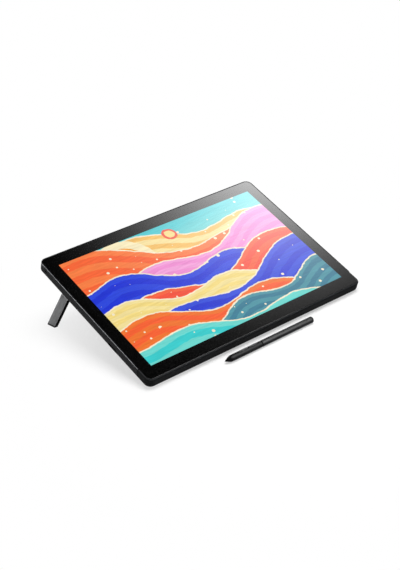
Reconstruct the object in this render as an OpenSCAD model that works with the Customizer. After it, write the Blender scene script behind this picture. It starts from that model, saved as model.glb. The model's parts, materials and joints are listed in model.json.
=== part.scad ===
// Pen display on two fold-out legs, with its battery-free pen lying in front of it.
// Sizes are in millimetres. The display is built flat, with its glass at height 0,
// and is then tilted so that the front foot and both leg tips stand on the desk.

/* [Screen] */
// Width of the lit picture
active_w = 344.6; // [300:0.1:380]
// Depth of the lit picture
active_d = 215.4; // [190:0.1:240]

/* [Housing] */
// Border from the picture to the left and right walls
side_border = 19.3; // [17:0.1:26]
// Border from the picture to the back wall
back_border = 21.7; // [19:0.1:30]
// Border from the picture to the front wall
front_border = 22.3; // [21:0.1:32]
// Thickness from the glass to the back face, without feet
body_t = 16; // [15:0.1:20]
// Radius of the four corners, seen from above
corner_r = 10; // [8:0.1:16]
// Radius of the rounded lower edge
edge_r = 5.4; // [3:0.1:7]
// Wall of the housing frame
wall_t = 2.8; // [2.6:0.1:3.4]
// Chamfer along the top edge of the frame
rim_chamfer = 0.6; // [0.4:0.05:1.1]
// Width of the rim between the outer wall and the glass
rim_w = 1.75; // [1.3:0.05:2]
// Width of the lip between the front wall and the glass
front_lip = 2.65; // [2.4:0.05:3.5]
// Chamfer along the top edge of the front trim
front_chamfer = 2.2; // [1:0.05:2.3]
// Chamfer round the corners and sides of the front trim
trim_chamfer = 1.6; // [0.6:0.05:1.7]
// Distance from the front wall to the trim's seam on the sides
trim_run = 26; // [20:0.5:40]
// Height of the front trim
trim_h = 11; // [9:0.1:11.5]
// Shadow gap between the front trim and the side walls
seam_gap = 0.5; // [0:0.05:0.8]

/* [Glass and picture stack] */
// Thickness of the cover glass
glass_t = 1.1; // [0.7:0.05:1.5]
// Thickness of the adhesive tape under the edge of the glass
tape_t = 0.3; // [0.2:0.05:0.5]
// Thickness of the clear bonding layer
bond_t = 0.3; // [0.2:0.05:0.5]
// Thickness of the liquid crystal panel
panel_t = 1.2; // [1:0.05:1.4]
// Thickness of the diffuser films
film_t = 0.6; // [0.4:0.05:0.8]
// Thickness of the light guide
guide_t = 1.8; // [1.4:0.05:2]
// Thickness of the reflector sheet
reflector_t = 0.3; // [0.2:0.05:0.4]
// Sheet thickness of the backlight tray
tray_t = 0.4; // [0.3:0.05:0.5]
// Thickness of the pen sensor board
sensor_t = 0.6; // [0.5:0.05:0.8]
// Thickness of the shield plate
shield_t = 0.4; // [0.3:0.05:0.5]
// Thickness of the chassis plate
chassis_t = 1.2; // [1:0.05:1.3]
// Margin of the panel beside and behind the picture
panel_edge = 3.2; // [2.5:0.1:4]
// Margin of the panel in front of the picture, where its drivers sit
driver_edge = 7.5; // [6.5:0.1:9]
// Number of lamps on the LED strip
led_count = 32; // [16:1:40]

/* [Back cover] */
// Thickness of the back cover
plate_t = 1.6; // [1.4:0.05:1.8]
// Distance from the outer wall to the back cover's edge
plate_inset = 8; // [7.5:0.1:9]
// Width of the frame ledge that the back cover is screwed to
plate_lap = 4.5; // [4.2:0.1:6]
// Height of the stiffening ribs on the inside of the back cover
rib_h = 2; // [1:0.1:2.2]

/* [Legs] */
// Tilt of the display on its open legs
tilt = 19; // [16:0.5:21]
// Angle by which an open leg leans outwards
leg_splay = 21; // [15:0.5:24]
// Width of a leg
leg_w = 15.5; // [11:0.1:16]
// Thickness of a leg
leg_t = 5.3; // [5:0.1:6]
// Distance from the side wall to the hinge pin
leg_inset = 29.8; // [24:0.1:40]
// Distance from the back wall to the middle of a leg
leg_back = 46; // [40:0.1:70]
// Diameter of the hinge pin
pin_d = 3; // [2:0.1:3.4]
// Height of the rubber tip
tip_t = 2.2; // [1.5:0.1:4]
// Wall of the leg well
well_t = 1.2; // [1:0.05:1.5]
// Finger room beyond the tip of a folded leg
finger_room = 11; // [8:0.5:16]

/* [Feet] */
// Height of the front foot and the rear pads
foot_h = 3; // [2.9:0.1:4]
// Length of the front foot
foot_len = 300; // [200:1:330]
// Flat width of the front foot behind its slanted face
foot_flat = 2.5; // [2:0.1:4]
// Width of the slanted face that rests on the desk
foot_slant = 4.2; // [3:0.1:4.2]
// Diameter of a rear pad
pad_d = 13; // [10:0.5:16]
// Distance between the two rear pads
pad_span = 250; // [220:1:300]

/* [Connector bay and lock slot] */
// Length of the connector bay along the side
bay_len = 18.5; // [16:0.1:24]
// Height of the connector bay
bay_h = 5.8; // [5.6:0.05:6]
// Depth of the connector bay
bay_depth = 7; // [6:0.1:8]
// Distance from the front wall to the middle of the bay
bay_run = 80.8; // [70:0.1:100]
// Length of the lock slot
lock_len = 6; // [5:0.1:7]
// Height of the lock slot
lock_h = 2.5; // [2:0.1:3]
// Distance from the back wall to the middle of the lock slot
lock_run = 18; // [16:0.1:24]

/* [Power button] */
// Length of the power button
key_len = 14; // [10:0.1:18]
// Height of the power button
key_h = 3.2; // [2.6:0.1:4]
// Distance from the right wall to the middle of the button
key_run = 41; // [34:0.1:60]
// How far the button stands out
key_proud = 0.6; // [0.5:0.05:0.8]
// Travel of the button
key_travel = 0.4; // [0.2:0.05:0.4]

/* [Pen] */
// Length of the pen
pen_len = 157.5; // [145:0.5:175]
// Diameter of the pen
pen_d = 9.2; // [8.4:0.1:11]
// Length of the grip section with the nose
grip_len = 63; // [62:0.5:72]
// Length of the tapered nose
nose_len = 10; // [9:0.1:10.5]
// Diameter of the nib
nib_d = 1.3; // [1.1:0.05:1.4]
// How far the nib stands out of the nose
nib_out = 1.5; // [1.2:0.1:2]
// Length of each side switch
switch_len = 15.4; // [12:0.1:15.6]
// Width of the side switches
switch_w = 3.4; // [3:0.1:3.6]
// How far the side switches stand out of the grip
switch_proud = 0.35; // [0.3:0.05:0.6]
// Travel of a side switch
switch_travel = 0.3; // [0.2:0.05:0.3]
// Distance from the front foot to the pen's axis
pen_gap = 32.3; // [28:0.1:60]
// Sideways place of the pen's middle
pen_x = -1.3; // [-60:0.1:60]
// Angle of the pen to the front edge
pen_turn = 0; // [-5:0.1:5]

/* [Hidden] */
$fn = 48;

// Small sizes that every piece shares
eps = 0.01;
over = 1;
slip = 0.15;
run_gap = 0.3;

// Outline of the housing, whose middle is the origin of the flat build
body_w = active_w + 2 * side_border;
body_d = active_d + front_border + back_border;
half_w = body_w / 2;
half_d = body_d / 2;
screen_y = (front_border - back_border) / 2;
seam_y = trim_run - half_d;

// Heights in the stack, downwards from the glass
z_glass = -glass_t;
z_ledge = z_glass - tape_t;
z_bond = z_glass - bond_t;
z_panel = z_bond - panel_t;
z_film = z_panel - film_t;
z_guide = z_film - guide_t;
z_reflector = z_guide - reflector_t;
z_tray = z_reflector - tray_t;
z_sensor = z_tray - sensor_t;
z_shield = z_sensor - shield_t;
z_chassis = z_shield - chassis_t;
z_back = -body_t;
z_plate = z_back + plate_t;
lap_t = 1.6;
lap_skin = 0.3;
lap_r = 1;
cover_r = 2;
z_lap = z_plate + lap_t;

// Pocket for the glass and the ledge below it
pocket_w = body_w - 2 * rim_w;
pocket_d = body_d - rim_w - front_lip;
pocket_y = (front_lip - rim_w) / 2;
pocket_r = corner_r - rim_w;
glass_w = pocket_w - 2 * slip;
glass_d = pocket_d - 2 * slip;
glass_r = pocket_r - slip;
glass_bevel = 0.25;
ledge_w = 3.6;
ledge_t = 1.6;
window_w = pocket_w - 2 * ledge_w;
window_d = pocket_d - 2 * ledge_w;
window_r = pocket_r - ledge_w;
cavity_r = corner_r - wall_t;

// Panel and backlight outline
panel_w = active_w + 2 * panel_edge;
panel_d = active_d + panel_edge + driver_edge;
panel_y = screen_y + (panel_edge - driver_edge) / 2;
driver_ledge = 4.5;
bond_edge = 2;
film_edge = 1;
guide_front = 4;
guide_w = active_w + 2 * film_edge;
guide_d = active_d + film_edge + guide_front;
guide_y = screen_y + (film_edge - guide_front) / 2;
led_board_t = 0.6;
led_w = 3;
led_depth = 0.9;
led_h = 1.2;

// Chassis plate, posts of the frame and what hangs on them
chassis_gap = 0.4;
chassis_w = window_w - 2 * chassis_gap;
chassis_d = window_d - 2 * chassis_gap;
post_reach = 8.2;
post_len = 9;
post_count = 4;
post_end = 18.6;
post_hole = 4;
post_bite = 3;
screw_d = 2.2;
head_d = 4.2;
head_h = 0.9;
drive_w = 0.5;
drive_len = 2;
drive_depth = 0.5;
screw_end = 0.1;
post_u = wall_t + post_reach - head_d / 2;
standoff_h = 1;
standoff_d = 5;
board_t = 1;
board_w = 96;
board_d = 74;
chip_h = 1;
z_board_top = z_chassis - standoff_h;
z_board = z_board_top - board_t;

// Connector bay, which is centred on the socket under the main board
socket_w = 8.94;
socket_h = 3.26;
socket_len = 7.3;
socket_wall = 0.35;
bay_wall = 1.4;
bay_y = bay_run - half_d;
bay_z = z_board - socket_h / 2;
bay_back = -half_w + bay_depth;
board_x = bay_back + bay_wall + slip + board_w / 2;
board_y = bay_y;
lock_y = half_d - lock_run;
lock_z = -(rim_chamfer + body_t - edge_r) / 2;
lock_t = 1;
lock_margin_y = 2.2;
lock_margin_z = 1.1;
socket_floor = 1.5;
tongue_t = 0.7;
tongue_in = 1.1;

// Flat cables: the display's from the driver edge, the sensor's through a window in the plates
ribbon_w = 40;
ribbon_t = 0.25;
ribbon_x = board_x + board_w / 4 - ribbon_w / 4;
ribbon_off = 1.2;
ribbon_front = panel_y - panel_d / 2 - ribbon_off;
ribbon_slot = 3;
ribbon_tab = 3;
ribbon_grip = 4;
tail_w = 28;
tail_x = board_x + board_w / 4;
tail_y = board_y + board_d / 4;
tail_room = 7;
tail_margin = 1;

// Power button on the back wall
key_x = half_w - key_run;
key_drop = 1;
key_z = lock_z - key_drop;
key_flange = 1;
key_flange_t = 0.8;
key_seat = 0.1;
switch_w_body = 6;
switch_t = 2.4;
plunger_out = 0.6;
key_room = 0.1;
key_board_t = 1;
key_board_w = 18;
key_board_top = key_z + key_h;
key_inner = half_d - wall_t - key_seat - key_flange_t;
switch_y = key_inner - key_travel - key_room;
key_board_y = switch_y - switch_t;
key_notch = 24;
key_clear = 1;

// Front foot: a strip with a flat for level use and a slanted face for the tilted stand
foot_margin = 0.15;
foot_front = plate_inset + slip + foot_margin - half_d;
foot_edge_y = foot_front + foot_slant;
rest_y = foot_edge_y - foot_slant / 2;
rest_z = z_back - foot_h + foot_slant / 2 * tan(tilt);
pad_margin = 1;
pad_bevel = 0.8;
pad_y = half_d - plate_inset - plate_lap - pad_d / 2 - pad_margin;

// Hinge pin, and the height of its middle above the desk
pin_x = -half_w + leg_inset;
pin_y = half_d - leg_back;
pin_z = z_back + leg_t / 2;
pin_up = (pin_y - rest_y) * sin(tilt) + (pin_z - rest_z) * cos(tilt);
leg_fall = cos(leg_splay) * cos(tilt);
leg_reach = pin_up / leg_fall;
leg_skew = (leg_t / 2 * sin(leg_splay) * cos(tilt) + leg_w / 2 * sin(tilt)) / leg_fall;
leg_long = leg_reach + leg_skew;
leg_round = 1;
leg_side_gap = 0.35;
pin_fit = 0.05;
roof_gap = 1.1;
stop_gap = 0.3;
heel_room = leg_t / 2 + run_gap;
well_half = leg_w / 2 + leg_side_gap;
well_end = pin_x + leg_long + finger_room;
mouth_reach = (pin_z - z_back) * tan(leg_splay) + (leg_t / 2 + stop_gap) / cos(leg_splay);
well_start = pin_x - mouth_reach - well_t;
z_roof = pin_z + leg_t / 2 + roof_gap;
flange_w = 5;
flange_t = 1.2;
spring_t = 0.35;
spring_len = 22;
spring_w = 8;
core_depth = 2.4;
core_edge = 2.2;
core_cells = 4;
core_rib = 1.4;
core_start = 13;
core_toe = 4;
core_stop = leg_reach - leg_skew - tip_t / leg_fall - core_toe;

// Stiffening: beads of the chassis plate, and the ribbed field of the back cover between the wells
bead_t = 1;
bead_h = 0.8;
bead_len = 120;
bead_count = 4;
bead_start = 19;
bead_pitch = 38;
bead_back = pin_y - leg_w;
rib_t = 1.2;
rib_clear = 7;
rib_margin = 38;
rib_rows = 5;
rib_columns = 3;
rib_half_w = -(well_end + well_t + flange_t + rib_clear);
rib_half_d = half_d - rib_margin;

// Posts under the chassis plate: along the front and back, then at the sides, with their turn
post_step = (chassis_w - 2 * post_end) / (post_count - 1);
post_places = concat(
    [for (i = [0 : post_count - 1], s = [-1, 1])
        [i * post_step + post_end - chassis_w / 2, s * (half_d - wall_t), 90 * s]],
    [for (s = [-1, 1]) [s * (half_w - wall_t), 0, s > 0 ? 0 : 180]]
);

// Cover screws in the lap between the frame's ledge and the back cover
lap_in = plate_inset + plate_lap / 2;
cover_screw_places = [
    for (sx = [-1, 1], sy = [-1, 0, 1]) [sx * (half_w - lap_in), sy * (half_d - 2 * lap_in - corner_r)],
    for (sx = [-1, 1], sy = [-1, 1]) [sx * half_w / 2, sy * (half_d - lap_in)]
];

// Screws of the main board and of the leg wells
board_screw_x = board_w / 2 - standoff_d;
board_screw_y = board_d / 2 - standoff_d;
board_screw_places = [
    for (sx = [-1, 1], sy = [-1, 1]) [board_x + sx * board_screw_x, board_y + sy * board_screw_y]
];
well_screw_in = 20;
well_screw_x = [well_start + well_screw_in, well_end - well_screw_in];
well_screw_y = well_half + well_t + flange_w / 2;

// Pen, measured from the tip of its nib
pen_r = pen_d / 2;
touch_gap = 0.05;
nose_wall = 0.6;
nose_r = nib_d / 2 + nose_wall;
nose_steps = 6;
nose_fullness = 1.2;
grip_wall = 1.2;
pen_bore = pen_r - grip_wall;
coil_step = 0.35;
coil_bore = pen_bore - coil_step;
nose_end = nib_out + nose_len;
coil_back = 1;
coil_start = nose_end + coil_back;
coil_len = 7.5;
ferrite_r = 1.6;
ferrite_lap = 0.6;
nib_fit = 0.1;
nib_end = 24;
nib_travel = 0.3;
switch_gap = 0.2;
switch_split = 0.8;
switch_start = 24.2;
switch_lip = 0.8;
lip_in = 0.5;
lip_t = 0.5;
slot_start = switch_start - switch_gap;
slot_end = switch_start + 2 * switch_len + switch_split + switch_gap;
joint_gap = 1;
spigot_len = 3.6;
spigot_fit = 0.05;
spigot_wall = 0.75;
spigot_bore = pen_bore - spigot_fit - spigot_wall;
barrel_wall = 1.1;
barrel_bore = pen_r - barrel_wall;
barrel_step = 2;
cap_len = 3;
cap_spigot = 5;
cap_bevel = 0.9;
sensor_r = 1.5;
sensor_start = nib_end + nib_travel + touch_gap;
sensor_len = 3.2;
pen_board_start = sensor_start + sensor_len;
pen_board_len = 78;
pen_board_t = 0.8;
pen_board_w = 2 * sqrt(pow(spigot_bore - slip, 2) - pow(pen_board_t / 2, 2));
contact_h = 1.2;
contact_len = 4;
contact_w = 3;
contact_gap = switch_travel + touch_gap;
z_contact = pen_board_t / 2 + contact_h;
z_switch = z_contact + contact_gap;

// Colours as the photo shows them
black = "#17181a";
charcoal = "#2f3032";
grey = "#6f7072";
steel = "#b8bcc2";
green = "#1f5138";
amber = "#b98a3a";

// Quarter turns and straight edges of one section, closed by a plain middle:
// the child is the section, measured outwards from the middle of the corner
module slab(w, d, r, z_low, z_high) {
    for (turn = [0 : 3]) {
        a = turn % 2 == 0 ? w / 2 : d / 2;
        b = turn % 2 == 0 ? d / 2 : w / 2;
        rotate([0, 0, 90 * turn]) {
            translate([a - r, b - r, 0]) rotate_extrude(angle = 90) children();
            translate([a - r, 0, 0]) rotate([90, 0, 0]) linear_extrude(2 * (b - r), center = true) children();
        }
    }
    translate([r - w / 2, r - d / 2, z_low]) cube([w - 2 * r, d - 2 * r, z_high - z_low]);
}

// Plate with upright walls and round corners
module plate(w, d, r, z_low, z_high) {
    slab(w, d, r, z_low, z_high) translate([0, z_low]) square([r, z_high - z_low]);
}

// Plate whose top edge is bevelled
module bevelled_plate(w, d, r, z_low, z_high, bevel) {
    rise = z_high - z_low;
    slab(w, d, r, z_low, z_high)
        translate([0, z_low]) polygon([[0, 0], [r, 0], [r, rise - bevel], [r - bevel, rise], [0, rise]]);
}

// Box between two corners
module block(low, high) {
    translate(low) cube(high - low);
}

// Box with a middle in x and y, between two heights
module sheet(w, d, y, z_low, z_high) {
    translate([-w / 2, y - d / 2, z_low]) cube([w, d, z_high - z_low]);
}

// Both the piece and its mirror image
module both_sides() {
    children();
    mirror([1, 0, 0]) children();
}

// The flat build, set on the desk with the front foot's slanted face at the origin
module on_desk() {
    rotate([tilt, 0, 0]) translate([0, -rest_y, -rest_z]) children();
}

// The pen's own frame, with its axis along X from the nib backwards
module pen_place() {
    translate([pen_x, -pen_gap, pen_r]) rotate([0, 0, pen_turn]) translate([-pen_len / 2, 0, 0]) children();
}

// Turned piece of the pen, from points of axis distance and radius
module pen_turned(points) {
    rotate([90, 0, 90]) rotate_extrude() polygon([for (p = points) [p[1], p[0]]]);
}

module pen_rod(r, from, to) {
    translate([from, 0, 0]) rotate([0, 90, 0]) cylinder(r = r, h = to - from);
}

// Outer section of the housing: chamfered rim, upright wall, round lower edge
module housing_section(chamfer) {
    difference() {
        union() {
            translate([0, z_back + edge_r]) square([corner_r, body_t - edge_r]);
            translate([0, z_back]) square([corner_r - edge_r, body_t]);
            intersection() {
                translate([corner_r - edge_r, z_back + edge_r]) circle(r = edge_r);
                translate([corner_r - edge_r, z_back]) square([edge_r, edge_r]);
            }
        }
        translate([corner_r, 0]) rotate(45) square(chamfer * sqrt(2), center = true);
    }
}

module housing_outside(chamfer) {
    slab(body_w, body_d, corner_r, z_back, 0) housing_section(chamfer);
}

module glass_pocket() {
    translate([0, pocket_y, 0]) plate(pocket_w, pocket_d, pocket_r, z_ledge, over);
}

module at_posts() {
    for (p = post_places) translate([p[0], p[1], 0]) rotate([0, 0, p[2]]) children();
}

module at_cover_screws() {
    for (p = cover_screw_places) translate([p[0], p[1], 0]) children();
}

module at_board_screws() {
    for (p = board_screw_places) translate([p[0], p[1], 0]) children();
}

module at_well_screws() {
    for (x = well_screw_x, s = [-1, 1]) translate([x, pin_y + s * well_screw_y, 0]) children();
}

// Screw with a low round head and a cross recess, its head downwards from height 0
module screw(shank) {
    difference() {
        translate([0, 0, -head_h]) cylinder(d = head_d, h = head_h);
        for (turn = [0, 90]) rotate([0, 0, turn])
            sheet(drive_len, drive_w, 0, -head_h - over, drive_depth - head_h);
    }
    translate([0, 0, -eps]) cylinder(d = screw_d, h = shank + eps);
}

module cover_glass() {
    color(black) on_desk() translate([0, pocket_y, 0])
        bevelled_plate(glass_w, glass_d, glass_r, z_glass, 0, glass_bevel);
}

module glass_tape() {
    color(black) on_desk() translate([0, pocket_y, 0]) difference() {
        plate(glass_w, glass_d, glass_r, z_ledge, z_glass);
        plate(window_w, window_d, window_r, z_ledge - over, z_glass + over);
    }
}

module bonding_layer() {
    color("#d8e4ea") on_desk()
        sheet(active_w + 2 * bond_edge, active_d + 2 * bond_edge, screen_y, z_bond, z_glass);
}

// Two panes; the lower one runs further forward and carries the drivers
module lcd_panel() {
    color("#24262c") on_desk() {
        sheet(panel_w, panel_d, panel_y, z_panel, z_panel + panel_t / 2);
        sheet(panel_w, panel_d - driver_ledge, panel_y + driver_ledge / 2, z_panel + panel_t / 2, z_bond);
    }
}

module diffuser_films() {
    color("#f2f2ee") on_desk() sheet(guide_w, guide_d, guide_y, z_film, z_panel);
}

module light_guide() {
    color("#e6f0f4") on_desk() sheet(guide_w, guide_d, guide_y, z_guide, z_film);
}

module reflector_sheet() {
    color("#fbfbf8") on_desk() sheet(guide_w, guide_d, guide_y, z_reflector, z_guide);
}

// Lamps in a row on a thin strip, shining into the front edge of the light guide
module led_strip() {
    front = guide_y - guide_d / 2 - slip;
    pitch = guide_w / led_count;
    color("#f5efc8") on_desk() {
        block([-guide_w / 2, front - led_depth - led_board_t, z_reflector],
            [guide_w / 2, front - led_depth, z_film]);
        for (i = [0 : led_count - 1])
            translate([(i + 0.5) * pitch - guide_w / 2 - led_w / 2, front - led_depth - eps, z_guide + slip])
                cube([led_w, led_depth + eps, led_h]);
    }
}

module backlight_tray() {
    color(steel) on_desk() difference() {
        sheet(panel_w, panel_d, panel_y, z_tray, z_panel);
        sheet(panel_w - 2 * tray_t, panel_d - 2 * tray_t, panel_y, z_reflector, z_panel + over);
    }
}

module pen_sensor_board() {
    color(green) on_desk() sheet(panel_w, panel_d, panel_y, z_sensor, z_tray);
}

// Window through which the sensor's ribbon reaches the main board
module tail_window(z_low, z_high) {
    block([tail_x - tail_w / 2 - run_gap, tail_y - tail_room / 2, z_low],
        [tail_x + tail_w / 2 + run_gap, tail_y + tail_room / 2, z_high]);
}

module shield_plate() {
    color(steel) on_desk() difference() {
        sheet(panel_w, panel_d, panel_y, z_shield, z_sensor);
        tail_window(z_shield - over, z_sensor + over);
    }
}

// Pressed plate with beads, a slot for each ribbon and standoffs for the main board
module chassis_plate() {
    color("#8d9196") on_desk() difference() {
        union() {
            translate([0, pocket_y, 0]) plate(chassis_w, chassis_d, window_r, z_chassis, z_shield);
            for (i = [0 : bead_count - 1])
                translate([bead_start + i * bead_pitch, bead_back - bead_len, z_chassis - bead_h])
                    cube([bead_t, bead_len, bead_h + eps]);
            at_board_screws() translate([0, 0, z_board_top])
                cylinder(d = standoff_d, h = standoff_h + eps);
        }
        tail_window(z_chassis - over, z_shield + over);
        block([ribbon_x - ribbon_w / 2 - run_gap, ribbon_front - ribbon_slot / 2, z_chassis - over],
            [ribbon_x + ribbon_w / 2 + run_gap, ribbon_front + ribbon_slot / 2, z_shield + over]);
        block([key_x - key_notch / 2, key_board_y - key_board_t - key_clear, z_chassis - over],
            [key_x + key_notch / 2, half_d, z_shield + over]);
        at_board_screws() translate([0, 0, z_board_top - over])
            cylinder(d = screw_d, h = over + standoff_h + chassis_t / 2);
        at_posts() translate([wall_t - post_u, 0, z_chassis - over])
            cylinder(d = screw_d + 2 * slip, h = chassis_t + 2 * over);
    }
}

// Room that the front trim takes from the outside of the frame
module trim_room(gap) {
    difference() {
        block([-half_w - over, -half_d - over, -trim_h - gap], [half_w + over, seam_y + gap, over]);
        plate(body_w - 2 * (rim_w + gap), body_d - 2 * (rim_w + gap), pocket_r - gap,
            -trim_h - over, z_ledge);
    }
}

// Hollow frame: glass ledge above, lap for the back cover below, posts, and the connector bay
module housing_frame() {
    color(charcoal) on_desk() difference() {
        union() {
            difference() {
                housing_outside(rim_chamfer);
                glass_pocket();
                translate([0, pocket_y, 0])
                    plate(window_w, window_d, window_r, z_ledge - ledge_t - eps, z_ledge + eps);
                plate(body_w - 2 * wall_t, body_d - 2 * wall_t, cavity_r, z_lap, z_ledge - ledge_t);
                plate(body_w - 2 * (plate_inset + plate_lap), body_d - 2 * (plate_inset + plate_lap), lap_r,
                    z_plate - eps, z_lap + eps);
                plate(body_w - 2 * plate_inset, body_d - 2 * plate_inset, cover_r, z_back - over, z_plate);
            }
            at_posts() block([-post_reach, -post_len / 2, z_lap - eps], [eps, post_len / 2, z_chassis]);
            block([-half_w + wall_t - eps, bay_y - bay_len / 2 - bay_wall, z_plate],
                [bay_back + bay_wall, bay_y + bay_len / 2 + bay_wall, z_chassis - slip]);
        }
        trim_room(slip);
        block([-half_w - over, bay_y - bay_len / 2, bay_z - bay_h / 2],
            [bay_back, bay_y + bay_len / 2, bay_z + bay_h / 2]);
        block([bay_back - over, bay_y - socket_w / 2 - slip, bay_z - socket_h / 2 - slip],
            [bay_back + socket_len + slip, bay_y + socket_w / 2 + slip, bay_z + socket_h / 2 + slip]);
        block([-half_w - over, lock_y - lock_len / 2, lock_z - lock_h / 2],
            [-half_w + wall_t + over, lock_y + lock_len / 2, lock_z + lock_h / 2]);
        translate([key_x, half_d, key_z])
            key_prism(key_len + 2 * slip, key_h + 2 * slip, -wall_t - over, over);
        at_cover_screws() translate([0, 0, z_plate - over])
            cylinder(d = screw_d, h = lap_t + over - lap_skin);
        at_posts() translate([wall_t - post_u, 0, z_chassis - post_hole])
            cylinder(d = screw_d, h = post_hole + over);
    }
}

// Front edge with both corners, with a wide chamfer towards the user
module front_trim() {
    color(charcoal) on_desk() difference() {
        intersection() {
            housing_outside(trim_chamfer);
            block([-half_w - over, -half_d - over, -trim_h], [half_w + over, seam_y - seam_gap, over]);
        }
        glass_pocket();
        plate(body_w - 2 * rim_w, body_d - 2 * rim_w, pocket_r, z_back - over, z_ledge);
        translate([0, -half_d, 0]) rotate([45, 0, 0])
            cube([body_w + 2 * over, front_chamfer * sqrt(2), front_chamfer * sqrt(2)], center = true);
    }
}

// Room for a leg well in the back cover
module well_hole() {
    block([well_start - slip, pin_y - well_half - well_t - slip, z_back - over],
        [well_end + well_t + slip, pin_y + well_half + well_t + slip, z_plate + over]);
}

// Flat cover with stiffening ribs, holes for both leg wells and counterbored screw holes
module back_cover() {
    row = 2 * rib_half_d / (rib_rows - 1);
    column = 2 * rib_half_w / (rib_columns - 1);
    color(charcoal) on_desk() difference() {
        union() {
            plate(body_w - 2 * (plate_inset + slip), body_d - 2 * (plate_inset + slip), cover_r - slip,
                z_back, z_plate);
            for (i = [0 : rib_rows - 1])
                sheet(2 * rib_half_w, rib_t, i * row - rib_half_d, z_plate - eps, z_plate + rib_h);
            for (i = [0 : rib_columns - 1]) translate([i * column - rib_half_w, 0, 0])
                sheet(rib_t, 2 * rib_half_d + rib_t, 0, z_plate - eps, z_plate + rib_h);
        }
        both_sides() well_hole();
        at_cover_screws() translate([0, 0, z_back - over]) {
            cylinder(d = screw_d + 2 * slip, h = plate_t + 2 * over);
            cylinder(d = head_d + 2 * slip, h = over + head_h);
        }
        both_sides() at_well_screws() translate([0, 0, z_back + plate_t / 2])
            cylinder(d = screw_d, h = plate_t);
    }
}

// Board with its main chips, each given by its place on the board and its width
module main_board() {
    chips = [[5, 7, 15], [29, -18, 9], [-19, 21, 8], [21, 22, 6], [-10, -24, 7]];
    color(green) on_desk() difference() {
        translate([board_x, board_y, z_board]) {
            sheet(board_w, board_d, 0, 0, board_t);
            for (chip = chips) translate([chip[0], 0, 0]) sheet(chip[2], chip[2], chip[1], -chip_h, eps);
        }
        at_board_screws() translate([0, 0, z_board - over])
            cylinder(d = screw_d + 2 * slip, h = board_t + 2 * over);
    }
}

// Metal shell with a tongue inside, soldered under the board, its mouth in the bay
module usb_socket() {
    floor_x = socket_len - socket_floor;
    color(steel) on_desk() translate([bay_back, bay_y, bay_z]) {
        difference() {
            socket_form(socket_w, socket_h, 0, socket_len);
            socket_form(socket_w - 2 * socket_wall, socket_h - 2 * socket_wall, -over, floor_x);
        }
        block([socket_wall, tongue_in - socket_w / 2, -tongue_t / 2],
            [floor_x + eps, socket_w / 2 - tongue_in, tongue_t / 2]);
    }
}

// Round-ended bar along X
module socket_form(w, h, from, to) {
    for (s = [-1, 1])
        translate([from, s * (w - h) / 2, 0]) rotate([0, 90, 0]) cylinder(d = h, h = to - from);
    block([from, -(w - h) / 2, -h / 2], [to, (w - h) / 2, h / 2]);
}

// Flat cable from the panel's driver edge, round the tray and through the chassis to the main board
module display_ribbon() {
    tab = panel_y - panel_d / 2 + ribbon_tab;
    high = z_panel + panel_t / 2;
    run = ribbon_front;
    low = z_board_top;
    end = board_y - board_d / 2 + ribbon_grip;
    color(amber) on_desk()
        translate([ribbon_x, 0, 0]) rotate([90, 0, 90]) linear_extrude(ribbon_w, center = true)
            polygon([[tab, high + ribbon_t], [run, high + ribbon_t], [run, low], [end, low],
                [end, low + ribbon_t], [run + ribbon_t, low + ribbon_t],
                [run + ribbon_t, high], [tab, high]]);
}

// Short flat cable from the pen sensor down to the main board
module sensor_ribbon() {
    front = tail_y - tail_room / 2 + tail_margin;
    back = tail_y + tail_room / 2 - tail_margin;
    inner = back - ribbon_t;
    high = z_sensor - ribbon_t;
    low = z_board_top + ribbon_t;
    color(amber) on_desk()
        translate([tail_x, 0, 0]) rotate([90, 0, 90]) linear_extrude(tail_w, center = true)
            polygon([[front, z_sensor], [front, high], [inner, high], [inner, low], [front, low],
                [front, z_board_top], [back, z_board_top], [back, z_sensor]]);
}

// Round-ended bar along Y
module key_prism(w, h, from, to) {
    rotate([-90, 0, 0]) translate([0, 0, from]) {
        for (s = [-1, 1]) translate([s * (w - h) / 2, 0, 0]) cylinder(d = h, h = to - from);
        block([-(w - h) / 2, -h / 2, 0], [(w - h) / 2, h / 2, to - from]);
    }
}

module power_button() {
    color(black) on_desk() translate([key_x, 0, key_z]) {
        key_prism(key_len, key_h, key_inner, half_d + key_proud);
        key_prism(key_len + 2 * key_flange, key_h + 2 * key_flange, key_inner, key_inner + key_flange_t);
    }
}

module power_switch() {
    color(steel) on_desk() {
        block([key_x - switch_w_body / 2, key_board_y, key_z - key_h / 2],
            [key_x + switch_w_body / 2, switch_y - plunger_out, key_z + key_h / 2]);
        translate([key_x, 0, key_z]) key_prism(key_h, key_h / 2, key_board_y + eps, switch_y);
    }
}

// Small board that stands on the frame's lap behind the button
module button_board() {
    color(green) on_desk() block([key_x - key_board_w / 2, key_board_y - key_board_t, z_lap],
        [key_x + key_board_w / 2, key_board_y, key_board_top]);
}

module lock_plate() {
    reach_y = lock_len / 2 + lock_margin_y;
    reach_z = lock_h / 2 + lock_margin_z;
    color(steel) on_desk() difference() {
        block([-half_w + wall_t, lock_y - reach_y, lock_z - reach_z],
            [-half_w + wall_t + lock_t, lock_y + reach_y, lock_z + reach_z]);
        block([-half_w, lock_y - lock_len / 2, lock_z - lock_h / 2],
            [0, lock_y + lock_len / 2, lock_z + lock_h / 2]);
    }
}

// Rubber strip with a flat for level use and a slanted face for the tilted stand
module front_foot() {
    back = foot_edge_y + foot_flat + foot_h / 2;
    color(black) on_desk() rotate([90, 0, 90]) linear_extrude(foot_len, center = true)
        polygon([[foot_front, z_back], [foot_front, z_back - foot_h + foot_slant * tan(tilt)],
            [foot_edge_y, z_back - foot_h], [foot_edge_y + foot_flat, z_back - foot_h], [back, z_back]]);
}

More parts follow.
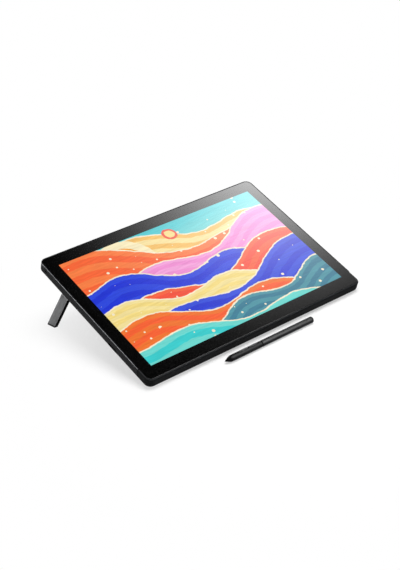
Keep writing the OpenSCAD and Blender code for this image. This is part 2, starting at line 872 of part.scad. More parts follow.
module rear_pads() {
    color(black) on_desk() both_sides() translate([pad_span / 2, pad_y, z_back - foot_h]) {
        cylinder(d1 = pad_d - 2 * pad_bevel, d2 = pad_d, h = pad_bevel);
        translate([0, 0, pad_bevel - eps]) cylinder(d = pad_d, h = foot_h - pad_bevel + eps);
    }
}

module cover_screws() {
    shank = plate_t - head_h + lap_t - lap_skin - screw_end;
    color(steel) on_desk() at_cover_screws() translate([0, 0, z_back + head_h]) screw(shank);
}

module chassis_screws() {
    color(steel) on_desk() at_posts() translate([wall_t - post_u, 0, z_shield])
        rotate([180, 0, 0]) screw(chassis_t + post_bite);
}

module board_screws() {
    color(steel) on_desk() at_board_screws() translate([0, 0, z_board])
        screw(board_t + standoff_h + chassis_t / 3);
}

module well_screws() {
    color(steel) on_desk() both_sides() at_well_screws() translate([0, 0, z_plate + flange_t])
        rotate([180, 0, 0]) screw(flange_t + plate_t / 2 - screw_end);
}

// Side profile of the hollow: room for the folded leg, and a slanted end that stops the open leg
module well_hollow() {
    stop_x = pin_x - heel_room;
    stop_z = pin_z - (heel_room - (leg_t / 2 + stop_gap) * cos(leg_splay)) / tan(leg_splay)
        + (leg_t / 2 + stop_gap) * sin(leg_splay);
    mouth_x = stop_x - (stop_z - z_back + over) * tan(leg_splay);
    polygon([[mouth_x, z_back - over], [well_end, z_back - over], [well_end, z_roof], [stop_x, z_roof],
        [stop_x, stop_z]]);
}

// Tub that carries the hinge pin
module leg_well() {
    top = z_roof + well_t;
    outside = well_half + well_t;
    difference() {
        union() {
            block([well_start, pin_y - outside, z_back], [well_end + well_t, pin_y + outside, top]);
            block([well_start - flange_t, pin_y - outside - flange_w, z_plate],
                [well_end + well_t + flange_t, pin_y + outside + flange_w, z_plate + flange_t]);
        }
        translate([0, pin_y, 0]) rotate([90, 0, 0])
            linear_extrude(2 * well_half, center = true) well_hollow();
        translate([pin_x, pin_y, pin_z]) rotate([90, 0, 0])
            cylinder(d = pin_d, h = 2 * (outside + over), center = true);
        at_well_screws() translate([0, 0, z_plate - over])
            cylinder(d = screw_d + 2 * slip, h = flange_t + 2 * over);
    }
}

module leg_well_left() { color(black) on_desk() leg_well(); }
module leg_well_right() { color(black) on_desk() mirror([1, 0, 0]) leg_well(); }

module hinge_pin() {
    translate([pin_x, pin_y, pin_z]) rotate([90, 0, 0])
        cylinder(d = pin_d, h = 2 * (well_half + well_t), center = true);
}

module hinge_pin_left() { color(steel) on_desk() hinge_pin(); }
module hinge_pin_right() { color(steel) on_desk() mirror([1, 0, 0]) hinge_pin(); }

// Leaf spring on the roof of the well, whose rounded end rides on the heel of the leg
module friction_spring() {
    low = pin_z + leg_t / 2 + run_gap / 2;
    block([pin_x - heel_room + slip, pin_y - spring_w / 2, z_roof - spring_t],
        [pin_x + spring_len, pin_y + spring_w / 2, z_roof]);
    translate([pin_x, pin_y - spring_w / 2, low]) cube([leg_t / 4, spring_w, z_roof - low]);
}

module friction_spring_left() { color(steel) on_desk() friction_spring(); }
module friction_spring_right() { color(steel) on_desk() mirror([1, 0, 0]) friction_spring(); }

// Space above the desk, from a height upwards
module above(height) {
    translate([-body_w, -body_d, height]) cube([2 * body_w, 3 * body_d, body_d]);
}

module at_leg() {
    on_desk() translate([pin_x, pin_y, pin_z]) rotate([0, leg_splay, 0]) children();
}

// Cast bar with a round heel and a cored inner face, cut level with the desk for its rubber tip
module leg() {
    cell = (core_stop - core_start) / core_cells;
    intersection() {
        at_leg() difference() {
            union() {
                rotate([90, 0, 0]) cylinder(d = leg_t, h = leg_w, center = true);
                plate(leg_t, leg_w, leg_round, -2 * leg_long, -leg_t / 2);
                block([-leg_t / 2, -leg_w / 2, -leg_t], [leg_t / 2, leg_w / 2, 0]);
            }
            rotate([90, 0, 0]) cylinder(d = pin_d + 2 * pin_fit, h = leg_w + 2 * over, center = true);
            for (i = [0 : core_cells - 1])
                translate([0, 0, -core_start - i * cell])
                    block([leg_t / 2 - core_depth, core_edge - leg_w / 2, core_rib - cell],
                        [leg_t / 2 + over, leg_w / 2 - core_edge, 0]);
        }
        above(tip_t);
    }
}

module leg_left() { color(grey) leg(); }
module leg_right() { color(grey) mirror([1, 0, 0]) leg(); }

module leg_tip() {
    difference() {
        intersection() {
            at_leg() plate(leg_t, leg_w, leg_round, -2 * leg_long, -leg_t);
            above(0);
        }
        above(tip_t);
    }
}

module leg_tip_left() { color(black) leg_tip(); }
module leg_tip_right() { color(black) mirror([1, 0, 0]) leg_tip(); }

module pen_nib() {
    round = nib_d / 2;
    color(black) pen_place() {
        translate([round, 0, 0]) rotate([0, 90, 0]) sphere(r = round);
        pen_rod(round, round, nib_end);
    }
}

// Rounded nose and grip in one turned piece, with a slot for the side switches
module pen_grip() {
    nib_bore = nib_d / 2 + nib_fit;
    step_x = slot_start - switch_lip - run_gap;
    nose = [for (i = [0 : nose_steps])
        [nib_out + nose_len * i / nose_steps,
            nose_r + (pen_r - nose_r) * pow(sin(90 * i / nose_steps), nose_fullness)]];
    inside = [[grip_len, pen_bore], [step_x, pen_bore], [step_x, coil_bore], [coil_start, coil_bore],
        [coil_start, nib_bore], [nib_out, nib_bore]];
    color(charcoal) pen_place() difference() {
        pen_turned(concat(nose, [[grip_len, pen_r]], inside));
        block([slot_start, -switch_w / 2 - switch_gap, 0], [slot_end, switch_w / 2 + switch_gap, pen_d]);
    }
}

// Key with a curved top that follows the grip, and a lip under the end of the slot
module pen_switch(from, lip_from, lip_to) {
    intersection() {
        pen_rod(pen_r + switch_proud, from, from + switch_len);
        block([from, -switch_w / 2, z_switch], [from + switch_len, switch_w / 2, pen_d]);
    }
    block([lip_from, lip_in - switch_w / 2, z_switch], [lip_to, switch_w / 2 - lip_in, z_switch + lip_t]);
}

module pen_switch_front() {
    color(black) pen_place() pen_switch(switch_start, switch_start - switch_lip, switch_start + eps);
}

module pen_switch_rear() {
    from = switch_start + switch_len + switch_split;
    color(black) pen_place() pen_switch(from, from + switch_len - eps, from + switch_len + switch_lip);
}

// Tube with a spigot that plugs into the grip
module pen_barrel() {
    spigot_r = pen_bore - spigot_fit;
    spigot_x = grip_len - spigot_len;
    seam_x = grip_len + joint_gap;
    step_x = grip_len + barrel_step;
    end_x = pen_len - cap_len;
    color(charcoal) pen_place()
        pen_turned([[spigot_x, spigot_bore], [spigot_x, spigot_r], [seam_x, spigot_r], [seam_x, pen_r],
            [end_x, pen_r], [end_x, barrel_bore], [step_x, barrel_bore], [step_x, spigot_bore]]);
}

module pen_end_cap() {
    plug_r = barrel_bore - spigot_fit;
    seat_x = pen_len - cap_len;
    plug_x = seat_x - cap_spigot;
    color(black) pen_place()
        pen_turned([[plug_x, 0], [plug_x, plug_r], [seat_x, plug_r], [seat_x, pen_r],
            [pen_len - cap_bevel, pen_r], [pen_len, pen_r - cap_bevel], [pen_len, 0]]);
}

module pen_ferrite_core() {
    color("#3a3a3e") pen_place() difference() {
        pen_rod(ferrite_r, coil_start, coil_start + coil_len + 2 * ferrite_lap);
        pen_rod(nib_d / 2 + 2 * nib_fit, coil_start - over, coil_start + coil_len + 2 * ferrite_lap + over);
    }
}

module pen_coil() {
    color("#b5652c") pen_place() difference() {
        pen_rod(coil_bore - touch_gap, coil_start + ferrite_lap, coil_start + ferrite_lap + coil_len);
        pen_rod(ferrite_r, coil_start, coil_start + coil_len + 2 * ferrite_lap);
    }
}

module pen_force_sensor() {
    color(steel) pen_place() pen_rod(sensor_r, sensor_start, pen_board_start);
}

module pen_circuit_board() {
    color(green) pen_place() block([pen_board_start, -pen_board_w / 2, -pen_board_t / 2],
        [pen_board_start + pen_board_len, pen_board_w / 2, pen_board_t / 2]);
}

// One contact on the board under each side switch
module pen_switch_contacts() {
    first = switch_start + switch_len / 2 - contact_len / 2;
    color(steel) pen_place() for (i = [0, 1])
        translate([first + i * (switch_len + switch_split), -contact_w / 2, pen_board_t / 2])
            cube([contact_len, contact_w, contact_h]);
}

cover_glass();
glass_tape();
bonding_layer();
lcd_panel();
diffuser_films();
light_guide();
reflector_sheet();
led_strip();
backlight_tray();
pen_sensor_board();
shield_plate();
chassis_plate();
housing_frame();
front_trim();
back_cover();
main_board();
usb_socket();
display_ribbon();
sensor_ribbon();
power_button();
power_switch();
button_board();
lock_plate();
front_foot();
rear_pads();
cover_screws();
chassis_screws();
board_screws();
well_screws();
leg_well_left();
leg_well_right();
hinge_pin_left();
hinge_pin_right();
friction_spring_left();
friction_spring_right();
leg_left();
leg_right();
leg_tip_left();
leg_tip_right();
pen_nib();
pen_grip();
pen_switch_front();
pen_switch_rear();
pen_barrel();
pen_end_cap();
pen_ferrite_core();
pen_coil();
pen_force_sensor();
pen_circuit_board();
pen_switch_contacts();
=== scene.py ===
# Pen display on two fold-out legs with its pen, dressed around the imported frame
import json
import math

import bmesh
import bpy
from mathutils import Matrix, Quaternion, Vector


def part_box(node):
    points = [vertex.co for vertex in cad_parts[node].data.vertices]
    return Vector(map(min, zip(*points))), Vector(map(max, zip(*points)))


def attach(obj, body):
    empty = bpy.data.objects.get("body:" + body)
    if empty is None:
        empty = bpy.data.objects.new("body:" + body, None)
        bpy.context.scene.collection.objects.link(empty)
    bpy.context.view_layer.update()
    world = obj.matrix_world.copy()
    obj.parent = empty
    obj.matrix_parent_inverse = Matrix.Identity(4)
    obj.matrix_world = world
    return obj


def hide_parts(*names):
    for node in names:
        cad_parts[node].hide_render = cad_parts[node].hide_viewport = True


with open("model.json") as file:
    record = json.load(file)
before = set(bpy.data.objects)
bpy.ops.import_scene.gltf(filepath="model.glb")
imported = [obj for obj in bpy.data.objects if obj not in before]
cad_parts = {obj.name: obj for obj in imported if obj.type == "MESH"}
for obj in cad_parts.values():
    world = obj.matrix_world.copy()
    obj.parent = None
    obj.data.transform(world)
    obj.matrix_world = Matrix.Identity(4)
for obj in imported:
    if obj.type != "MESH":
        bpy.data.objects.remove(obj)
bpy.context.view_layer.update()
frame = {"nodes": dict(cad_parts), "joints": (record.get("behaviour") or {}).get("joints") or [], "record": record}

nodes = frame["nodes"]
joints = {j["name"]: j for j in frame["joints"]}
mounts = {m["name"]: m for m in frame["record"]["mounts"]}
mm = 0.001
print("frame loaded:", len(nodes), "nodes")


# places that the frame gives: the tilted glass, the pen's axis and the legs

def reach(node, way):
    # lowest and highest place of a node along a direction
    places = [v.co.dot(way) for v in nodes[node].data.vertices]
    return min(places), max(places)


def spread(node, way):
    low, high = reach(node, way)
    return high - low


def boxMiddle(node):
    low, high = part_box(node)
    return (low + high) / 2


sideways = Vector((1, 0, 0))
slope = Vector(joints["right_leg_fold"]["axis"]).normalized()   # up the glass, front to back
tilt = math.atan2(slope.z, slope.y)
glassNormal = Vector((0, -math.sin(tilt), math.cos(tilt)))


def onTablet(x, along, up):
    # a frame on the tilted tablet, from places along its three directions
    middle = sideways * x + slope * along + glassNormal * up
    return Matrix.Translation(middle) @ Matrix.Rotation(tilt, 4, "X")


# camera, floor and lamps

view = {
    "place": (-0.9444, -1.1145, 0.8753),
    "aim": (-0.0108, 0.1024, 0.04),
    "roll": math.radians(-3.295),
    "lens": 78.217,
}


def makeCamera():
    bpy.ops.object.camera_add(location=view["place"])
    shot = bpy.context.object
    shot.name = "photoView"
    shot.data.lens = view["lens"]
    shot.data.sensor_width = 36
    shot.rotation_mode = "QUATERNION"
    look = Vector(view["aim"]) - Vector(view["place"])
    shot.rotation_quaternion = look.to_track_quat("-Z", "Y") @ Quaternion((0, 0, 1), view["roll"])
    bpy.context.scene.camera = shot
    print("camera placed")


def deselectAll():
    if bpy.context.object and bpy.context.object.mode != "OBJECT":
        bpy.ops.object.mode_set(mode="OBJECT")
    bpy.ops.object.select_all(action="DESELECT")


studio = {
    "floorRadius": 3.2,
    "coveRadius": 0.8,
    "coveSteps": 8,
    "wallHeight": 1.2,
    "floorDrop": 0.00005,     # keeps the floor clear of the feet
    "floorColour": (0.95, 0.95, 0.95),
    "glow": (0.47, 1.0),      # share of plain white that shows, near the pen and far away
    "glowReach": (0.06, 0.48),   # distances from the pen between which it changes
    "air": 0.008,             # strength of the world's plain light
}


def makeFloor():
    deselectAll()
    bpy.ops.mesh.primitive_circle_add(vertices=96, radius=studio["floorRadius"], fill_type="NGON",
                                      location=(0, 0, -studio["floorDrop"]))
    sweep = bpy.context.object
    sweep.name = "studioSweep"
    bpy.ops.object.mode_set(mode="EDIT")
    bpy.ops.mesh.select_all(action="SELECT")
    bpy.ops.mesh.region_to_loop()
    radius, height = studio["floorRadius"], 0.0
    for step in range(1, studio["coveSteps"] + 2):
        turn = math.radians(90) * min(step, studio["coveSteps"]) / studio["coveSteps"]
        newRadius = studio["floorRadius"] + studio["coveRadius"] * math.sin(turn)
        newHeight = studio["coveRadius"] * (1 - math.cos(turn))
        if step > studio["coveSteps"]:
            newHeight += studio["wallHeight"]
        bpy.ops.mesh.extrude_edges_move(TRANSFORM_OT_translate={"value": (0, 0, newHeight - height)})
        grow = newRadius / radius
        bpy.ops.transform.resize(value=(grow, grow, 1), center_override=(0, 0, 0))
        radius, height = newRadius, newHeight
    bpy.ops.mesh.select_all(action="SELECT")
    bpy.ops.mesh.normals_make_consistent(inside=True)
    bpy.ops.object.mode_set(mode="OBJECT")
    bpy.ops.object.transform_apply(location=True, rotation=True, scale=True)
    bpy.ops.object.shade_smooth_by_angle(angle=math.radians(40))
    sweep.data.materials.append(floorFinish())
    print("floor laid")


def floorFinish():
    finish = bpy.data.materials.new("studioWhite")
    finish.use_nodes = True
    finish.node_tree.nodes.clear()
    graph = Graph(finish.node_tree)
    rays = graph.add("ShaderNodeLightPath").outputs
    seen = graph.math("MAXIMUM", rays["Is Camera Ray"], rays["Is Glossy Ray"])
    seen = graph.math("MAXIMUM", seen, rays["Is Transmission Ray"])
    place = graph.add("ShaderNodeTexCoord").outputs["Object"]
    away = graph.vector("DISTANCE", place, boxMiddle("pen_barrel"))
    fade = graph.span(away, *studio["glowReach"], *studio["glow"], kind="SMOOTHSTEP")
    share = graph.math("MULTIPLY", seen, fade)
    paint = graph.add("ShaderNodeBsdfDiffuse")
    paint.inputs["Color"].default_value = (*studio["floorColour"], 1)
    glow = graph.add("ShaderNodeEmission")
    mix = graph.add("ShaderNodeMixShader", {0: share, 1: paint.outputs[0], 2: glow.outputs[0]})
    graph.add("ShaderNodeOutputMaterial", {"Surface": mix.outputs[0]})
    return finish


# each lamp: compass direction from the back towards the right, height angle, distance, size, strength
lamps = {
    "overhead": {"azimuth": 105, "elevation": 80, "distance": 2.6, "size": (1.7, 1.7), "radiance": 9.2,
                 "matt": True},
    "leftStrip": {"azimuth": -66, "elevation": 42, "distance": 2.2, "size": (1.6, 0.5), "radiance": 16.0,
                  "gloss": True},
    "frontStrip": {"azimuth": 143, "elevation": 46, "distance": 2.2, "size": (0.9, 1.2), "radiance": 6.5,
                   "gloss": True},
}
# a round card at the back right, seen only in gloss, bright in the middle and fading out to its edge
card = {"azimuth": 59.4, "elevation": 40, "distance": 2.4, "radius": 0.98, "core": 0.22, "fall": 3.4,
        "radiance": 10.1}
lampTarget = Vector((0, 0.1, 0.04))


def lampPlace(lamp):
    turn, lift = math.radians(lamp["azimuth"]), math.radians(lamp["elevation"])
    away = Vector((math.sin(turn) * math.cos(lift), math.cos(turn) * math.cos(lift), math.sin(lift)))
    return lampTarget + away * lamp["distance"], (-away).to_track_quat("-Z", "Y")


def makeLamps():
    for name, lamp in lamps.items():
        place, turn = lampPlace(lamp)
        bpy.ops.object.light_add(type="AREA", location=place)
        light = bpy.context.object
        light.name = name
        light.rotation_mode = "QUATERNION"
        light.rotation_quaternion = turn
        light.data.shape = "RECTANGLE"
        light.data.size, light.data.size_y = lamp["size"]
        light.data.energy = lamp["radiance"] * math.pi * lamp["size"][0] * lamp["size"][1]
        if lamp.get("gloss"):
            light.visible_diffuse = False
        if lamp.get("matt"):
            light.visible_glossy = False
    world = bpy.data.worlds.new("studioAir")
    bpy.context.scene.world = world
    world.use_nodes = True
    air = world.node_tree.nodes["Background"]
    air.inputs["Color"].default_value = (1, 1, 1, 1)
    air.inputs["Strength"].default_value = studio["air"]
    bpy.context.scene.view_settings.view_transform = "Standard"
    print("lamps hung:", ", ".join(lamps))


def makeCard():
    deselectAll()
    place, turn = lampPlace(card)
    bpy.ops.mesh.primitive_circle_add(vertices=64, radius=card["radius"], fill_type="NGON", location=place)
    disc = bpy.context.object
    disc.name = "glossCard"
    disc.rotation_mode = "QUATERNION"
    disc.rotation_quaternion = turn
    disc.visible_camera = disc.visible_diffuse = disc.visible_shadow = disc.visible_transmission = False
    finish = bpy.data.materials.new("cardGlow")
    finish.use_nodes = True
    finish.node_tree.nodes.clear()
    graph = Graph(finish.node_tree)
    coords = graph.add("ShaderNodeTexCoord").outputs["Object"]
    away = graph.vector("LENGTH", coords)
    fade = graph.span(away, card["core"], card["radius"], 1.0, 0.0)
    glow = graph.math("MULTIPLY", graph.math("POWER", fade, card["fall"]), card["radiance"])
    light = graph.add("ShaderNodeEmission", {"Strength": glow}).outputs[0]
    graph.add("ShaderNodeOutputMaterial", {"Surface": light})
    disc.data.materials.append(finish)
    print("gloss card hung")


# shader helpers

def srgb(text):
    # linear colour from a written one such as "ff7a3d"
    levels = [int(text[i:i + 2], 16) / 255 for i in (0, 2, 4)]
    return tuple(v / 12.92 if v <= 0.04045 else ((v + 0.055) / 1.055) ** 2.4 for v in levels) + (1,)


class Graph:
    # a node tree with short ways to add nodes and to wire them
    def __init__(self, tree):
        self.tree = tree

    def add(self, kind, links=None, **values):
        node = self.tree.nodes.new(kind)
        for key, value in values.items():
            setattr(node, key, value)
        for socket, source in (links or {}).items():
            self.feed(node.inputs[socket], source)
        return node

    def feed(self, socket, source):
        if isinstance(source, bpy.types.NodeSocket):
            self.tree.links.new(source, socket)
        else:
            socket.default_value = source

    def math(self, operation, a, b=0.0, c=0.0):
        return self.add("ShaderNodeMath", {0: a, 1: b, 2: c}, operation=operation).outputs[0]

    def vector(self, operation, a, b=(0, 0, 0)):
        # vector maths, of which the measuring kinds give a number
        node = self.add("ShaderNodeVectorMath", {0: a, 1: b}, operation=operation)
        return node.outputs["Value" if operation in ("DISTANCE", "DOT_PRODUCT", "LENGTH") else "Vector"]

    def blend(self, factor, a, b):
        node = self.add("ShaderNodeMix", data_type="RGBA")
        self.feed(node.inputs["Factor"], factor)
        self.feed(node.inputs[6], a)
        self.feed(node.inputs[7], b)
        return node.outputs[2]

    def span(self, value, low, high, newLow, newHigh, kind="LINEAR"):
        links = {"Value": value, "From Min": low, "From Max": high, "To Min": newLow, "To Max": newHigh}
        return self.add("ShaderNodeMapRange", links, interpolation_type=kind).outputs["Result"]

    def group(self, tree, **values):
        node = self.add("ShaderNodeGroup", node_tree=tree)
        for key, value in values.items():
            self.feed(node.inputs[key], value)
        return node.outputs


def newGroup(name, inputs, outputs):
    tree = bpy.data.node_groups.new(name, "ShaderNodeTree")
    for label, kind, start in inputs:
        socket = tree.interface.new_socket(label, in_out="INPUT", socket_type="NodeSocket" + kind)
        if start is not None:
            socket.default_value = start
    for label, kind in outputs:
        tree.interface.new_socket(label, in_out="OUTPUT", socket_type="NodeSocket" + kind)
    graph = Graph(tree)
    return graph, graph.add("NodeGroupInput").outputs, graph.add("NodeGroupOutput").inputs


def makeGrainGroup():
    # moulded grain: fine pits, a slow change of tint and soft handling marks
    graph, given, out = newGroup(
        "mouldedGrain",
        [("Vector", "Vector", None), ("Grain", "Float", 2500.0), ("Patches", "Float", 25.0)],
        [("Height", "Float"), ("Tint", "Float"), ("Marks", "Float")])
    place, grain, patches = given["Vector"], given["Grain"], given["Patches"]
    fine = graph.add("ShaderNodeTexNoise", {"Vector": place, "Scale": grain, "Detail": 3.0})
    pits = graph.add("ShaderNodeTexVoronoi", {"Vector": place, "Scale": grain})
    slow = graph.add("ShaderNodeTexNoise", {"Vector": place, "Scale": patches, "Detail": 4.0})
    wide = graph.math("MULTIPLY", patches, 0.35)
    marks = graph.add("ShaderNodeTexNoise", {"Vector": place, "Scale": wide, "Detail": 2.0,
                                             "Distortion": 1.5})
    height = graph.math("ADD", fine.outputs["Fac"], graph.math("MULTIPLY", pits.outputs["Distance"], 0.5))
    graph.feed(out["Height"], height)
    graph.feed(out["Tint"], graph.span(slow.outputs["Fac"], 0.35, 0.65, 0.0, 1.0))
    graph.feed(out["Marks"], graph.span(marks.outputs["Fac"], 0.4, 0.7, 0.0, 1.0))
    return graph.tree


def makeBrushGroup():
    # brushed metal: long scratches along one axis
    graph, given, out = newGroup(
        "brushedLines",
        [("Vector", "Vector", None), ("Stretch", "Vector", (20.0, 1500.0, 1500.0))],
        [("Height", "Float"), ("Tint", "Float")])
    place = graph.vector("MULTIPLY", given["Vector"], given["Stretch"])
    lines = graph.add("ShaderNodeTexNoise", {"Vector": place, "Scale": 1.0, "Detail": 4.0})
    graph.feed(out["Height"], lines.outputs["Fac"])
    graph.feed(out["Tint"], graph.span(lines.outputs["Fac"], 0.3, 0.7, 0.0, 1.0))
    return graph.tree


zoneSoft = 0.05 * mm     # half the width of a zone's soft edge


def makeZoneGroup():
    # mask of what lies beyond a plane: a direction, a distance along it and a soft edge
    graph, given, out = newGroup(
        "zoneMask",
        [("Vector", "Vector", None), ("Way", "Vector", (0.0, 0.0, 1.0)), ("Limit", "Float", 0.0)],
        [("Mask", "Float")])
    along = graph.vector("DOT_PRODUCT", given["Vector"], given["Way"])
    beyond = graph.math("SUBTRACT", along, given["Limit"])
    graph.feed(out["Mask"], graph.span(beyond, -zoneSoft, zoneSoft, 0.0, 1.0))
    return graph.tree


grainGroup = makeGrainGroup()
brushGroup = makeBrushGroup()
zoneGroup = makeZoneGroup()


def newFinish(name):
    finish = bpy.data.materials.new(name)
    finish.use_nodes = True
    graph = Graph(finish.node_tree)
    return finish, graph, finish.node_tree.nodes["Principled BSDF"].inputs


def moulded(name, dark, light, rough, grain=2500.0, depth=0.00003, strength=0.35, patches=25.0,
            specular=0.5, zones=()):
    # grained plastic; zones beyond a plane may have their own colours, roughness and coat
    finish, graph, skin = newFinish(name)
    place = graph.add("ShaderNodeTexCoord").outputs["Object"]
    texture = graph.group(grainGroup, Vector=place, Grain=grain, Patches=patches)
    colour = graph.blend(texture["Tint"], srgb(dark), srgb(light))
    roughness = graph.span(texture["Marks"], 0.0, 1.0, *rough)
    for zone in zones:
        mask = graph.group(zoneGroup, Vector=place, Way=zone["way"], Limit=zone["limit"])["Mask"]
        if "top" in zone:
            above = graph.group(zoneGroup, Vector=place, Way=zone["way"], Limit=zone["top"])["Mask"]
            mask = graph.math("SUBTRACT", mask, above)
        if "dark" in zone:
            other = graph.blend(texture["Tint"], srgb(zone["dark"]), srgb(zone["light"]))
            colour = graph.blend(mask, colour, other)
            smoother = graph.span(texture["Marks"], 0.0, 1.0, *zone["rough"])
            roughness = graph.add("ShaderNodeMix", {0: mask, 2: roughness, 3: smoother}).outputs[0]
        if "coat" in zone:
            graph.feed(skin["Coat Weight"], graph.math("MULTIPLY", mask, zone["coat"]))
            skin["Coat Roughness"].default_value = zone["coatRough"]
    graph.feed(skin["Base Color"], colour)
    graph.feed(skin["Roughness"], roughness)
    skin["Specular IOR Level"].default_value = specular
    bump = graph.add("ShaderNodeBump", {"Height": texture["Height"], "Distance": depth, "Strength": strength})
    graph.feed(skin["Normal"], bump.outputs["Normal"])
    return finish


def metal(name, dark, light, rough, stretch=(20.0, 1500.0, 1500.0), depth=0.00001):
    finish, graph, skin = newFinish(name)
    place = graph.add("ShaderNodeTexCoord").outputs["Object"]
    lines = graph.group(brushGroup, Vector=place, Stretch=stretch)
    graph.feed(skin["Base Color"], graph.blend(lines["Tint"], srgb(dark), srgb(light)))
    graph.feed(skin["Roughness"], graph.span(lines["Tint"], 0.0, 1.0, *rough))
    skin["Metallic"].default_value = 1.0
    bump = graph.add("ShaderNodeBump", {"Height": lines["Height"], "Distance": depth, "Strength": 0.4})
    graph.feed(skin["Normal"], bump.outputs["Normal"])
    return finish


# edit-mode helpers

def newBox(name, low, high):
    # a box between two corners, in edit mode
    deselectAll()
    low, high = Vector(low), Vector(high)
    bpy.ops.mesh.primitive_cube_add(size=1, location=(low + high) / 2)
    piece = bpy.context.object
    piece.name = name
    piece.scale = high - low
    bpy.ops.object.transform_apply(location=True, rotation=True, scale=True)
    bpy.ops.object.mode_set(mode="EDIT")
    return piece


def pickEdges(piece, test):
    # selects the edges whose middle and direction pass a test, in edit mode
    mesh = bmesh.from_edit_mesh(piece.data)
    for part in (*mesh.verts, *mesh.edges, *mesh.faces):
        part.select = False
    for edge in mesh.edges:
        a, b = (v.co for v in edge.verts)
        if test((a + b) / 2, (b - a).normalized()):
            edge.select_set(True)
    bmesh.update_edit_mesh(piece.data)


def roundEdges(piece, radius, segments, test):
    pickEdges(piece, test)
    bpy.ops.mesh.bevel(offset=radius, segments=segments, affect="EDGES")


def turned(name, stations, sides=64):
    # a piece turned on the lathe, from distances along its axis and their radii, closed at both ends
    (height, radius), *others = stations
    deselectAll()
    bpy.ops.mesh.primitive_circle_add(vertices=sides, radius=radius, fill_type="NGON",
                                      location=(0, 0, height))
    piece = bpy.context.object
    piece.name = name
    bpy.ops.object.transform_apply(location=True, rotation=True, scale=True)
    bpy.ops.object.mode_set(mode="EDIT")
    bpy.ops.mesh.select_all(action="SELECT")
    for newHeight, newRadius in others:
        bpy.ops.mesh.extrude_region_move(TRANSFORM_OT_translate={"value": (0, 0, newHeight - height)})
        grow = newRadius / radius
        bpy.ops.transform.resize(value=(grow, grow, 1), center_override=(0, 0, newHeight))
        height, radius = newHeight, newRadius
    bpy.ops.mesh.select_all(action="SELECT")
    bpy.ops.mesh.normals_make_consistent(inside=False)
    bpy.ops.object.mode_set(mode="OBJECT")
    bpy.ops.object.shade_smooth_by_angle(angle=math.radians(35))
    return piece


def makeActive(piece):
    deselectAll()
    piece.select_set(True)
    bpy.context.view_layer.objects.active = piece


def carve(piece, tool, operation):
    # boolean with a tool that is then thrown away
    makeActive(piece)
    cut = piece.modifiers.new("carve", "BOOLEAN")
    cut.operation = operation
    cut.object = tool
    cut.solver = "EXACT"
    bpy.ops.object.modifier_apply(modifier=cut.name)
    bpy.data.objects.remove(tool, do_unlink=True)


def soften(piece, width, segments, angle):
    # rounds all edges sharper than an angle
    makeActive(piece)
    edge = piece.modifiers.new("soften", "BEVEL")
    edge.width = width
    edge.segments = segments
    edge.limit_method = "ANGLE"
    edge.angle_limit = math.radians(angle)
    bpy.ops.object.modifier_apply(modifier=edge.name)
    bpy.ops.object.shade_smooth_by_angle(angle=math.radians(35))


def placeMesh(piece, place):
    makeActive(piece)
    piece.matrix_world = place @ piece.matrix_world
    bpy.ops.object.transform_apply(location=True, rotation=True, scale=True)


def hand(piece, body, finish, slot, *replaced):
    # gives a finished piece its material and its place in the frame
    piece.data.materials.clear()
    piece.data.materials.append(finish)
    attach(piece, body)
    if replaced:
        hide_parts(*replaced)


def mirrored(piece, name):
    # a copy with its own mesh on the other side of the tablet
    makeActive(piece)
    bpy.ops.object.duplicate(linked=False)
    twin = bpy.context.object
    twin.name = name
    twin.scale.x = -1
    bpy.ops.object.transform_apply(location=True, rotation=True, scale=True)
    bpy.ops.object.mode_set(mode="EDIT")
    bpy.ops.mesh.select_all(action="SELECT")
    bpy.ops.mesh.normals_make_consistent(inside=False)
    bpy.ops.object.mode_set(mode="OBJECT")
    return twin


# cover glass with the lit picture: banded waves and discs, painted with a dry brush

glassSheet = {
    "thick": 1.1 * mm,
    "cornerRadius": 8.1 * mm,
    "polish": 0.25 * mm,      # bevel along the top edge
    "bondEdge": 2 * mm,       # clear layer beyond the lit picture
}
glassTop = reach("glass_tape", glassNormal)[1] + glassSheet["thick"]
glassAlong = sum(reach("glass_tape", slope)) / 2
pictureAlong = sum(reach("bonding_layer", slope)) / 2
pictureSize = tuple(spread("bonding_layer", way) - 2 * glassSheet["bondEdge"] for way in (sideways, slope))

